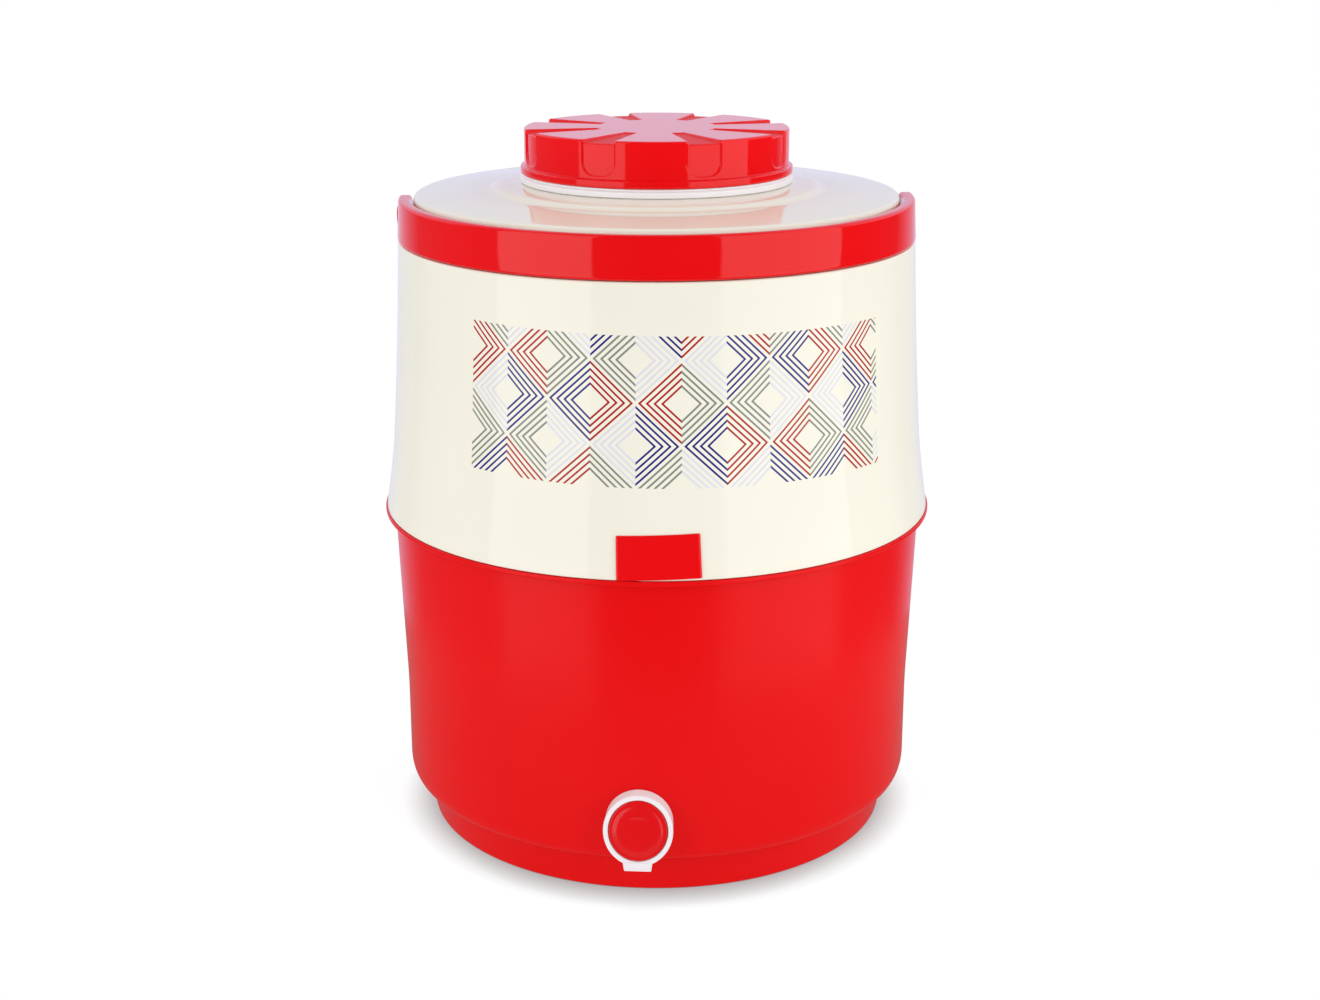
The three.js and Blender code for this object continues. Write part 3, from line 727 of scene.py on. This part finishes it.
def thread():
    root = neck_radius - 8.4 * MM
    crest = neck_radius - 6.5 * MM
    low = top("neck_ring") - 10.6 * MM
    wedge = rounded([(root, low), (crest, low + 0.9 * MM, 0.4 * MM), (crest, low + 1.3 * MM, 0.4 * MM),
                     (root, low + 2.2 * MM)])
    bm = bmesh.new()
    face = bm.faces.new([bm.verts.new((radius, 0, height)) for radius, height in wedge])
    steps = int(TURN_STEPS * THREAD_TURNS)
    climb = THREAD_PITCH * THREAD_TURNS / steps
    turn(bm, [face, *face.edges, *face.verts], math.tau * THREAD_TURNS, steps, climb)
    bmesh.ops.recalc_face_normals(bm, faces=bm.faces)
    return bm


piece(raw("neck_thread", thread()), "jug", "white_plastic", ring_plastic_painted_lighter)

# %% [markdown]
# ## The cap
#
# The cap is a shallow drum with a thin flange at its foot. Eight wedges are sunk in its top, narrow
# and shallow inside, wide and deep at the rim, and below each one the side has a recess for a finger,
# square above and rounded below. Cutting these from a spun drum would leave edges with no rounding.
# So one eighth of the drum is spun with many fine columns, each vertex is pushed in by a mask that
# falls off softly over less than a millimetre, and spin then repeats the eighth round the axis. The
# outline needs fine rows too, wherever the mask has an edge.

# %% Draw the cap's outline with fine rows
cap_radius = reach("cap_shell") - 2.3 * MM
cap_low = bottom("cap_shell")
cap_high = top("cap_shell")
wedge_inner = 35 * MM
SIDE_ROW = 0.55 * MM
TOP_ROW = 1.6 * MM
WEDGE_END_ROW = 0.5 * MM
MIDDLE_ROW = 9 * MM


def filled(start, end, gap):
    """Points from start to end, no further apart than a gap, without the first."""
    span = Vector(end) - Vector(start)
    steps = max(1, math.ceil(span.length / gap))
    return [tuple(Vector(start) + span * i / steps) for i in range(1, steps + 1)]


def cap_outline():
    skirt = cap_radius - 3.3 * MM
    under = cap_high - 4.4 * MM
    flange_top = cap_low + 4.4 * MM
    edge = 1.6 * MM
    foot = rounded([
        (0, under), (skirt, under, 1.2 * MM), (skirt, cap_low, 0.4 * MM),
        (reach("cap_shell"), cap_low, 0.6 * MM), (reach("cap_shell"), flange_top - 0.3 * MM, 0.9 * MM),
        (cap_radius, flange_top, 0.5 * MM), (cap_radius, flange_top + 0.9 * MM),
    ])
    side = filled(foot[-1], (cap_radius, cap_high - edge), SIDE_ROW)
    rim = curve(side[-1], (cap_radius, cap_high), (cap_radius - edge, cap_high), 6)[1:]
    flat = filled(rim[-1], (wedge_inner + 3 * MM, cap_high), TOP_ROW)
    flat += filled(flat[-1], (wedge_inner - 1.5 * MM, cap_high), WEDGE_END_ROW)
    return foot + side + rim + flat + filled(flat[-1], (0, cap_high), MIDDLE_ROW)


print(f"cap: {len(cap_outline())} rows, {2 * cap_radius / MM:.1f} mm across")

# %% [markdown]
# The mask of a wedge is a product of soft steps: inside its slanting sides, beyond its inner end and
# near the top. The mask of a finger recess falls off with the distance from its outline, whose lower
# corners are round. A wedge lowers a vertex, and a recess moves it towards the axis.

# %% Press one wedge and one finger recess
SOFTNESS = 0.9 * MM
WEDGE_HALVES = (4, 10)
WEDGE_DEPTHS = (0.8, 1.8)
WEDGE_REACH = 5 * MM
FINGER_HALF = 10.6 * MM
FINGER_CORNER = 8 * MM
FINGER_DEPTH = 1 * MM
finger_low = cap_low + 5.5 * MM


def soft_step(value, softness=SOFTNESS):
    """0 below zero, 1 above a softness, with a smooth rise between."""
    t = min(1, max(0, value / softness))
    return t * t * (3 - 2 * t)


def between(ends, share):
    """A length in millimetres between two others, as metres."""
    return (ends[0] + (ends[1] - ends[0]) * share) * MM


def wedge_mask(across, radius, height, share):
    return (soft_step(between(WEDGE_HALVES, share) - across) * soft_step(radius - wedge_inner)
            * soft_step(height - cap_high + WEDGE_REACH, WEDGE_REACH))


def finger_mask(across, radius, height):
    low_side = max(0, across - FINGER_HALF + FINGER_CORNER)
    low_drop = max(0, finger_low + FINGER_CORNER - height)
    to_edge = min(FINGER_HALF - across, FINGER_CORNER - math.hypot(low_side, low_drop))
    return soft_step(to_edge) * soft_step(radius - cap_radius + 3 * MM, 2 * MM)


def press_recesses(bm):
    """Presses one wedge and one finger recess into a sector whose middle is at the front."""
    for vert in bm.verts:
        radius = math.hypot(vert.co.x, vert.co.y)
        under_the_skin = vert.co.z < cap_high - 4 * MM and radius < cap_radius - 0.5 * MM
        if under_the_skin:
            continue
        across = abs(vert.co.x)
        share = (radius - wedge_inner) / (cap_radius - wedge_inner)
        finger = finger_mask(across, radius, vert.co.z)
        vert.co.z -= between(WEDGE_DEPTHS, share) * wedge_mask(across, radius, vert.co.z, share)
        if radius:
            vert.co.x *= 1 - FINGER_DEPTH * finger / radius
            vert.co.y *= 1 - FINGER_DEPTH * finger / radius


# %% [markdown]
# Spin repeats the pressed eighth seven more times when it is told to duplicate, and the seams between
# the eighths are merged. The floors of the wedges are matt, and the lobes between them are polished.

# %% Spin one eighth of the cap and repeat it
GROOVES = 8
SECTOR = math.tau / GROOVES
SECTOR_STEPS = 108
SEAM_MERGE = 0.004 * MM
CAP_TURN = math.radians(1.3)


def whole(bm):
    return bm.verts[:] + bm.edges[:] + bm.faces[:]


def cap_shape():
    bm = bmesh.new()
    verts = [bm.verts.new((0, -radius, height)) for radius, height in cap_outline()]
    edges = [bm.edges.new(pair) for pair in zip(verts, verts[1:])]
    place(bm, Matrix.Rotation(-SECTOR / 2, 4, "Z"))
    turn(bm, verts + edges, SECTOR, SECTOR_STEPS)
    press_recesses(bm)
    place(bm, Matrix.Rotation(SECTOR / 2 + CAP_TURN, 4, "Z"))
    turn(bm, whole(bm), math.tau - SECTOR, GROOVES - 1, use_duplicate=True)
    bmesh.ops.remove_doubles(bm, verts=bm.verts, dist=SEAM_MERGE)
    bmesh.ops.recalc_face_normals(bm, faces=bm.faces)
    return bm


def in_wedges(x, y, z):
    """1 on the floors of the wedges."""
    squared = x * x + y * y
    return (z < cap_high - 0.5 * MM) * (squared < (cap_radius - 1.5 * MM) ** 2)


# the cap's lighter red is painted light; the matt floors of its wedges are real roughness
cap_plastic_painted_lighter = moulded("red_cap_plastic_painted_lighter", CAP_RED_PAINTED_LIGHTER, 0.05, matt=in_wedges)
piece(raw("cap_drum", cap_shape()), "cap", "red_plastic", cap_plastic_painted_lighter, "cap_shell")

# %% [markdown]
# ## The handle
#
# The bail is a tapered band that goes half round the jug, thin in the middle and thick at its two
# rounded ends. Flat, it is a long plate with half-round ends: a circle whose halves are pulled apart,
# extruded, with its rims bevelled. Cuts across it give it the columns that it needs to bend, and then
# each vertex is wrapped round the jug, with the thickness that belongs to its place.

# %% Measure the handle
HANDLE_TURN = math.radians(6)
handle_low = bottom("handle")
handle_high = top("handle")
pivot_height = (handle_low + handle_high) / 2
half_band = (handle_high - handle_low) / 2
handle_radius = ledge[0] + 0.2 * MM
handle_taper = 1.3 * MM
end_inside = rebate_radius + 1.2 * MM
front_inside = handle_radius - handle_taper - 4.6 * MM
to_pivots = Matrix.Translation((0, 0, pivot_height)) @ Matrix.Rotation(HANDLE_TURN, 4, "Z")
print(f"handle: pivots at {pivot_height / MM:.1f} mm, band {2 * half_band / MM:.1f} mm high")


# %% Make the flat plate and bend it
END_SEGMENTS = 72
HAIR = 1e-7


def thicken(bm, thickness):
    """Extrudes a flat sheet to the back, and keeps its face."""
    grown = bmesh.ops.extrude_face_region(bm, geom=bm.faces[:], use_keep_orig=True)
    moved = [item for item in grown["geom"] if isinstance(item, bmesh.types.BMVert)]
    bmesh.ops.translate(bm, verts=moved, vec=(0, thickness, 0))


def soften(bm, edges, width, segments):
    """Bevels some edges of a bmesh."""
    bmesh.ops.bevel(bm, geom=edges, offset=width, segments=segments, affect="EDGES", profile=0.5,
                    material=-1)


def flat_plate(half_length, half_height, thickness, front_edge, back_edge, column):
    """A plate with half-round ends, its face at y 0 and its back at y thickness."""
    bm = bmesh.new()
    bmesh.ops.create_circle(bm, cap_ends=True, segments=END_SEGMENTS, radius=half_height)
    place(bm, Matrix.Rotation(QUARTER, 4, "X"))
    for vert in bm.verts:
        vert.co.x += math.copysign(half_length, vert.co.x) if abs(vert.co.x) > HAIR else 0
    thicken(bm, thickness)
    for depth, width in ((0, front_edge), (thickness, back_edge)):
        rim = [edge for edge in bm.edges if all(abs(v.co.y - depth) < HAIR for v in edge.verts)]
        soften(bm, rim, width, 4)
    count = round(2 * half_length / column)
    for i in range(1, count):
        cut = Vector((-half_length + 2 * half_length * i / count, 0, 0))
        bmesh.ops.bisect_plane(bm, geom=whole(bm), plane_co=cut, plane_no=(1, 0, 0), dist=HAIR)
    return bm


def bent_band():
    thickness = 6 * MM
    half_length = handle_radius * math.pi / 2
    bm = flat_plate(half_length, half_band, thickness, 1.8 * MM, 2.2 * MM, 3 * MM)
    for vert in bm.verts:
        angle = vert.co.x / handle_radius
        inside = 1 / math.hypot(math.sin(angle) / end_inside, math.cos(angle) / front_inside)
        outside = handle_radius - handle_taper * (vert.co.z + half_band) / (2 * half_band)
        depth = vert.co.y
        if depth > thickness / 2:
            depth += outside - inside - thickness
        radius = outside - depth
        vert.co.x = radius * math.sin(angle)
        vert.co.y = -radius * math.cos(angle)
    bmesh.ops.recalc_face_normals(bm, faces=bm.faces)
    return place(bm, to_pivots)


# %% [markdown]
# Each end has a stepped hole for its pivot: a narrow one for the shaft and a wide seat for the head,
# with a hair of room round both. It is the pivot's own kind of outline, spun and pointed sideways.

# %% Cut the pivots' seats
PIN_HEAD_RADIUS = 6 * MM
PIN_STEPS = 64
pin_face = handle_radius + 0.15 * MM


def along_pivot(outline, side):
    """A spun shape that points out along the pivots' axis on one side."""
    bm = spun(rounded(outline), steps=PIN_STEPS)
    return place(bm, Matrix.Rotation(side * QUARTER, 4, "Y"), to_pivots)


def pin_room(side):
    room = PIN_HEAD_RADIUS + 0.1 * MM
    seat = pin_face - 3.1 * MM
    shaft = 4.3 * MM
    start = end_inside - 5 * MM
    return along_pivot([(0, start), (shaft, start), (shaft, seat), (room, seat),
                        (room, pin_face + 2 * MM), (0, pin_face + 2 * MM)], side)


bail = raw("bail", bent_band())
for side in (-1, 1):
    reshape(bail, pin_room(side), "DIFFERENCE")
piece(bail, "handle", "red_plastic", red_plastic, "handle")

# %% [markdown]
# ## The pivots
#
# A headed pin holds each end of the handle. Only its head shows, a low button in a round recess. The
# shaft goes on through the shell, where a steel clip keeps it.

# %% Spin the pivot pins
for side, word in ((-1, "left"), (1, "right")):
    end = rebate_radius - 11.6 * MM
    outline = [(0, end), (4 * MM, end, 0.8 * MM), (4 * MM, pin_face - 2.8 * MM),
               (PIN_HEAD_RADIUS, pin_face - 2.8 * MM, 0.3 * MM),
               (PIN_HEAD_RADIUS, pin_face - 0.3 * MM, 0.9 * MM), (3 * MM, pin_face, 3 * MM), (0, pin_face)]
    piece(raw(f"pivot_{word}", along_pivot(outline, side)),
          "jug", "red_plastic", red_plastic, f"handle_pin_{word}")

# %% [markdown]
# ## The small plate
#
# A bare red plate is glued over the seam, a little off the middle and a little askew, as by hand. It
# follows the flare of the shell, so it is a flat plate with small round corners that is turned by
# its tilt and then wrapped over the shell's own radius.

# %% Wrap the plate over the shell
PLATE_TURN = math.radians(4)
PLATE_TILT = math.radians(1.6)
PLATE_COLUMNS = 24
PLATE_ROWS = 14


def plate():
    low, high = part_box("label_plate")
    half_width = 23 * MM
    half_height = (high[2] - low[2]) / 2
    middle = (high[2] + low[2]) / 2
    thickness = 0.7 * MM
    bm = bmesh.new()
    bmesh.ops.create_grid(bm, x_segments=PLATE_COLUMNS, y_segments=PLATE_ROWS, size=1)
    place(bm, Matrix.Diagonal((half_width, half_height, 1, 1)), Matrix.Rotation(QUARTER, 4, "X"))
    thicken(bm, thickness)
    corners = [edge for edge in bm.edges if abs(edge.verts[0].co.y - edge.verts[1].co.y) > thickness / 2
               and all(abs(abs(v.co.x) - half_width) < HAIR and abs(abs(v.co.z) - half_height) < HAIR
                       for v in edge.verts)]
    soften(bm, corners, 0.7 * MM, 4)
    face_rim = [edge for edge in bm.edges if len(edge.link_faces) == 2
                and all(abs(v.co.y) < HAIR for v in edge.verts) and edge.calc_face_angle() > 1]
    soften(bm, face_rim, 0.2 * MM, 2)
    place(bm, Matrix.Rotation(-PLATE_TILT, 4, "Y"))
    for vert in bm.verts:
        height = vert.co.z + middle + 0.3 * MM
        radius = side_radius(height) + 0.05 * MM + thickness - vert.co.y
        angle = vert.co.x / side_radius(middle) + PLATE_TURN
        vert.co = (radius * math.sin(angle), -radius * math.cos(angle), height)
    bmesh.ops.recalc_face_normals(bm, faces=bm.faces)
    return bm


piece(raw("small_plate", plate()), "jug", "red_plastic", red_plastic, "label_plate")

# %% [markdown]
# ## The tap
#
# The tap's front leans back with its button, so both are spun about the tap's own axis and then
# sheared: each point of the front moves back in step with its height. The front also hangs a little
# lower than the barrel, which is narrower from side to side than the round face. Behind the wall the
# same moulding goes on as barrel, collar and shank.

# %% Draw, spin and lean the tap
TAP_SLANT = math.tan(math.radians(12.5))
TAP_DROP = 0.8 * MM
DROP_RUN = 4 * MM
SQUEEZE_RUN = 8 * MM
face_out = tub_radius + 10.5 * MM
bay_out = 149.5 * MM
bay_radius = tap_radius - 3.3 * MM


def leaned(bm, from_out):
    """Shears what lies past a distance back by the slant, and lets the front hang."""
    for vert in bm.verts:
        out = -vert.co.y
        if out > from_out:
            vert.co.y += (vert.co.z - tap_height) * TAP_SLANT
        vert.co.z -= TAP_DROP * min(1, max(0, (out - tub_radius) / DROP_RUN))
    return bm


def collar_shape():
    shank = 11 * MM
    bore = 5.5 * MM
    wall = tub_radius + FIT_GAP
    shank_end = -tap_high[1]
    neck_back = bay_out - 3 * MM
    seal_back = 139.8 * MM
    outline = rounded([
        (bore, shank_end, 0.3 * MM),
        (bore, bay_out, 0.3 * MM),
        (bay_radius, bay_out, 0.8 * MM),
        (bay_radius, tub_radius),
        (bay_radius, tub_radius + DROP_RUN),
        (bay_radius, face_out, 0.7 * MM),
        (tap_radius - 0.5 * MM, face_out, 1 * MM),
        (tap_radius - 0.2 * MM, wall + DROP_RUN),
        (tap_radius, wall, 0.3 * MM),
        (barrel_radius, wall),
        (barrel_radius, neck_back, 0.6 * MM),
        (shank, neck_back, 0.8 * MM),
        (shank, seal_back + 3 * MM, 0.4 * MM),
        (shank + 6 * MM, seal_back + 3 * MM, 0.4 * MM),
        (shank + 6 * MM, seal_back, 0.4 * MM),
        (shank, seal_back, 0.3 * MM),
        (shank, shank_end, 0.6 * MM),
    ], closed=True)
    bm = place(spun(outline, closed=True, steps=TAP_STEPS), *to_tap)
    for vert in bm.verts:
        if math.hypot(vert.co.x, vert.co.z - tap_height) > bay_radius + 0.5 * MM:
            share = min(1, max(0, (face_out + vert.co.y) / SQUEEZE_RUN))
            vert.co.x *= 1 - (1 - BARREL_SQUEEZE) * share
    leaned(bm, face_out - 2 * MM)
    for vert in bm.verts:
        away = math.hypot(vert.co.x, vert.co.z - tap_height)
        if away > barrel_radius + 0.1 * MM and -vert.co.y < wall + 1 * MM:
            vert.co.y += wall - math.sqrt(wall ** 2 - vert.co.x ** 2)
    return bm


tap_collar = raw("tap_collar", collar_shape())
print(f"tap: {2 * tap_radius / MM:.1f} mm across, its face {face_out / MM:.1f} mm from the jug's axis")

# %% [markdown]
# The square outlet under the collar is a bevelled box that narrows a little towards its foot. It is
# joined to the tap and then hollowed from below.

# %% Join the outlet and hollow it
SPOUT_NARROWING = 0.09


def box(low, high, edge):
    """A box between two corners, with its edges rounded."""
    bm = bmesh.new()
    bmesh.ops.create_cube(bm, size=1)
    size = [b - a for a, b in zip(low, high)]
    middle = [(a + b) / 2 for a, b in zip(low, high)]
    place(bm, Matrix.Diagonal((*size, 1)), Matrix.Translation(middle))
    soften(bm, bm.edges[:], edge, 3)
    return bm


spout_half = 8.4 * MM
spout_low = tap_low[2] + 1.4 * MM
spout_top = tap_height - bay_radius - 1 * MM
spout_front = face_out + 4.47 * MM
outlet_half = spout_half - 2.4 * MM
outlet_back = tub_radius + 2.2 * MM


def outlet_shape():
    bm = box((-spout_half, -spout_front, spout_low), (spout_half, -tub_radius - 1 * MM, spout_top), 0.7 * MM)
    for vert in bm.verts:
        vert.co.x *= 1 - SPOUT_NARROWING * (spout_top - vert.co.z) / (spout_top - spout_low)
    return bm


hollow = box((-outlet_half, -outlet_back - 7.5 * MM, spout_low - 5 * MM),
             (outlet_half, -outlet_back, spout_top + 4 * MM), 0.5 * MM)
reshape(tap_collar, outlet_shape(), "UNION")
reshape(tap_collar, hollow, "DIFFERENCE")
piece(tap_collar, "jug", "white_plastic", white_plastic, "tap_body")

# %% [markdown]
# ## The button
#
# The red button fills the collar with a hair of clearance. Its face has a flat rim, and inside it a
# low disc with a soft shoulder, where the thumb presses. Behind the face a short skirt guides it, and
# a post holds the stem. The face leans and the post doesn't, so they are two shapes, joined at the end.

# %% Spin and lean the button
POST_STEPS = 96
button_front = face_out + 0.8 * MM
button_inside = button_front - 2 * MM
seat_radius = 8 * MM


def button_face():
    """The slanted face and its skirt, closed by a flat face behind."""
    radius = bay_radius - FIT_GAP
    skirt = radius - 2 * MM
    skirt_end = button_front - 5.5 * MM
    outline = rounded([
        (seat_radius, button_inside),
        (skirt, button_inside, 0.5 * MM),
        (skirt, skirt_end, 0.4 * MM),
        (radius, skirt_end, 0.4 * MM),
        (radius, button_front - 1 * MM, 1 * MM),
        (14.4 * MM, button_front - 1.1 * MM, 0.8 * MM),
        (12.4 * MM, button_front - 0.1 * MM, 1.9 * MM),
        (6 * MM, button_front, 4 * MM),
        (0, button_front),
    ])
    bm = leaned(place(spun(outline, steps=TAP_STEPS), *to_tap), 0)
    bmesh.ops.holes_fill(bm, edges=bm.edges[:], sides=TAP_STEPS)
    return bm


def button_post():
    """The spring's flat seat, and the post with its bore for the stem."""
    bore = 2.3 * MM
    post = 4.6 * MM
    post_end = button_inside - 9 * MM
    seat = button_inside - 3 * MM
    outline = rounded([
        (0, post_end + 5 * MM),
        (bore, post_end + 5 * MM, 0.3 * MM),
        (bore, post_end, 0.3 * MM),
        (post, post_end, 0.5 * MM),
        (post, seat, 0.4 * MM),
        (seat_radius, seat, 0.3 * MM),
        (seat_radius, button_inside + 0.5 * MM),
        (0, button_inside + 0.5 * MM),
    ])
    return place(spun(outline, steps=POST_STEPS), *to_tap)


thumb_button = raw("thumb_button", button_face())
reshape(thumb_button, button_post(), "UNION")
piece(thumb_button, "tap_plunger", "red_plastic", button_plastic, "tap_button")

# %% [markdown]
# ## The plug under the base
#
# The foam is poured in through a hole in the base, which a red plug closes.

# %% Spin the base plug
def plug_outline():
    head = reach("base_plug")
    shaft = 7.7 * MM
    low = bottom("base_plug")
    high = top("base_plug")
    under = 8 * MM - FIT_GAP
    return rounded([
        (0, low), (head, low, 0.7 * MM), (head, under, 0.3 * MM),
        (shaft, under), (shaft, high, 0.6 * MM), (0, high),
    ])


piece(raw("filler_plug", spun(plug_outline(), steps=POST_STEPS)),
      "jug", "red_plastic", red_plastic, "base_plug")

# %% [markdown]
# ## The pieces inside
#
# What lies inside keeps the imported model's shape and takes a finish of its own.

# %% Give the inner nodes their finishes
INNER = {
    "inner_tank": liner_plastic, "foam_insulation": foam, "cap_plug": white_plastic, "cap_foam": foam,
    "cap_gasket": rubber, "pin_clip_left": steel, "pin_clip_right": steel, "tap_stem": white_plastic,
    "tap_spring": steel, "tap_seal": rubber, "tap_gasket": rubber, "tap_washer": rubber,
    "tap_nut": white_plastic,
}
for node, look in INNER.items():
    for slot in frame["nodes"][node].material_slots:
        slot.material = look
print(f"{len(INNER)} nodes inside keep the model's shape")

# %% [markdown]
# ## The spring
#
# The return spring stands between the bay's floor and the button, so it shortens when the button is
# pressed. Neither body can carry it alone: its back end stays and its front end follows the button.
# Squashing it towards its back end by the button's travel would keep both ends where they belong.
# Here the share of its length that it keeps is worked out, and it gets a mesh of its own.

# %% Work out how far the spring shortens, and give it its own mesh
press = next(joint["range_m"][1] for joint in frame["joints"] if joint["name"] == "button_press")
spring_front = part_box("tap_spring")[0][1]
spring_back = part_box("tap_spring")[1][1]
spring_kept = 1 - press / (spring_back - spring_front)
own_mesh(frame["nodes"]["tap_spring"])
print(f"pressed {press / MM:.0f} mm, the spring keeps {spring_kept:.2f} of its length")

# %% [markdown]
# ## The table
#
# As in a product shot, everything round the jug is plain white to the camera. The table darkens only
# near the jug, by a painted shadow and by the real shadow that the lamps leave. The painted shadow is
# ambient occlusion, which reaches further in front, set as the colour of the glow that the camera sees.
# What the camera sees of the shadows is painted to lean to cyan, to cancel the red that the tub throws
# on them. To other rays the table glows white, which also lights the jug's foot from below. In a mirror
# the table is dim, as in a real studio, so that the tub's wall keeps its full colour. A mix of a lit
# surface and the glow with its painted shadow does this, with other shares for each kind of ray.

# %% Lay the table
TABLE_RADIUS = 0.4
TABLE_WHITE = (0.92, 0.92, 0.92, 1)
# painted: the table's colour to the camera leans to cyan, to cancel the red light that the tub throws on its
# shadow
TABLE_SEEN_PAINTED_CYAN = (1.37, 1.86, 1.86, 1)
TABLE_MIRRORED = (0.3, 0.3, 0.3, 1)
SHADE_REACH = 0.0222
SHADE_START = -0.09
SHADE_GROWTH = 0.07
GLOW_SEEN = 0.88
GLOW = 0.45
GLOW_MIRRORED = 0.1


def kinds_of_ray(finish):
    """1 for rays from the camera, also through clear things, and 1 for rays off a mirror."""
    path = finish.node("LightPath")
    return (finish.output(path, "Is Camera Ray").larger(finish.output(path, "Is Transmission Ray")),
            finish.output(path, "Is Glossy Ray"))


def table_finish():
    finish = material("table")
    camera_ray, glossy_ray = kinds_of_ray(finish)
    _, _, y, _ = finish.coordinates()
    distance = (SHADE_START - y).larger(0) * SHADE_GROWTH + SHADE_REACH
    # painted shadow: ambient occlusion darkens the glow that the camera sees near the jug
    painted_contact_shadow = finish.output(finish.node("AmbientOcclusion", {"samples": 12}, Distance=distance), "Color")
    colour = finish.mixed(glossy_ray, finish.mixed(camera_ray, TABLE_WHITE, TABLE_SEEN_PAINTED_CYAN), TABLE_MIRRORED)
    lit = finish.node("BsdfDiffuse", None, colour)
    glow_with_painted_shadow = finish.node("Emission", None, painted_contact_shadow.larger(1 - camera_ray), 1.0)
    glow = camera_ray * GLOW_SEEN + (1 - camera_ray) * (GLOW - glossy_ray * (GLOW - GLOW_MIRRORED))
    finish.node("OutputMaterial", None, finish.node("MixShader", None, glow, lit, glow_with_painted_shadow))
    return finish.owner


disc = bmesh.new()
bmesh.ops.create_circle(disc, cap_ends=True, segments=96, radius=TABLE_RADIUS)
table = raw("table", disc)
table.data.materials.append(table_finish())
print(f"table: {2 * TABLE_RADIUS:.1f} m across")

# %% [markdown]
# ## The light
#
# Behind the jug is a white sweep, and two tall soft boxes stand at the sides in front. The boxes are
# wide and dim rather than small and bright, because on a glossy wall each one shows as a band as wide
# as itself. Mirror rays that go up and back, or straight back, meet the sweep, which is a shade of
# lilac, and the others meet the dim room, so walls keep their full colour, and tops and outer edges
# turn pale. All other rays gather a plain light that is a little stronger from the sides and weaker
# from below.

# %% Make the room and hang the lights
ROOM = 0.1
LEFT_ROOM = 0.12
FILL = 0.41
SIDE_FILL = 0.68
LOW_FILL = 0.3
SWEEP = (0.79, 0.79, 1.01, 1)
BOX_DISTANCE = 1.5
BOX_MIDDLE = 0.6
BOX_HEIGHT = 2.6


def surroundings():
    """Lights the world by the way that a ray goes: x to the right, y to the back and z up."""
    bpy.context.scene.world = bpy.data.worlds.new("studio")
    finish = Finish(bpy.context.scene.world)
    camera_ray, glossy_ray = kinds_of_ray(finish)
    way = finish.node("SeparateXYZ", None, finish.output(finish.node("TexCoord"), "Generated"))
    x, y, z = (finish.output(way, axis) for axis in "XYZ")
    up = (z * 12 - 0.5).limited() * (y * 3 + 0.5).limited()
    behind = (y * 2.2 - x * 0.25 - 1.2).limited()
    mirrored = up.larger(behind).larger((0 - x).larger(0) * LEFT_ROOM + ROOM)
    fill = abs(x) * SIDE_FILL + FILL + z.smaller(0) * LOW_FILL
    strength = camera_ray + (1 - camera_ray) * (glossy_ray * mirrored + (1 - glossy_ray) * fill)
    light = finish.node("Background", None, finish.mixed(glossy_ray, (1, 1, 1, 1), SWEEP), strength)
    finish.node("OutputWorld", None, light)


def soft_box(name, degrees, width, watts):
    """A lamp at an angle from the front, towards +X, that faces the jug."""
    light = bpy.data.lights.new(name, "AREA")
    light.shape = "RECTANGLE"
    light.size = width
    light.size_y = BOX_HEIGHT
    light.energy = watts
    angle = math.radians(degrees)
    stand = Vector((BOX_DISTANCE * math.sin(angle), -BOX_DISTANCE * math.cos(angle), BOX_MIDDLE))
    lamp = linked(name, light)
    lamp.location = stand
    lamp.rotation_euler = (Vector((0, 0, BOX_MIDDLE)) - stand).to_track_quat("-Z", "Y").to_euler()
    print(f"{name}: {width:.2f} by {BOX_HEIGHT:.2f} m, {watts} W")


surroundings()
soft_box("left_box", -43.5, 1.15, 9.6)
soft_box("right_box", 58, 1.61, 12.6)

# %% [markdown]
# ## The camera
#
# The camera stands where the photograph's did. Its place, its two turns and its focal length in pixels
# were fitted to the jug's round edges. It has no roll.

# %% Stand the camera
CAMERA_PLACE = (0.0758, -1.1782, 0.5505)
CAMERA_PITCH = 0.2949
CAMERA_YAW = 0.0626
FOCAL_PIXELS = 1996.83
PHOTO_WIDTH = 1320
camera_data = bpy.data.cameras.new("camera")
camera_data.sensor_width = 36
camera_data.lens = camera_data.sensor_width * FOCAL_PIXELS / PHOTO_WIDTH
camera = linked("camera", camera_data)
camera.location = CAMERA_PLACE
camera.rotation_euler = (QUARTER - CAMERA_PITCH, 0, CAMERA_YAW)
bpy.context.scene.camera = camera
bpy.context.scene.view_settings.view_transform = "Standard"
print(f"camera: {camera_data.lens:.1f} mm lens")
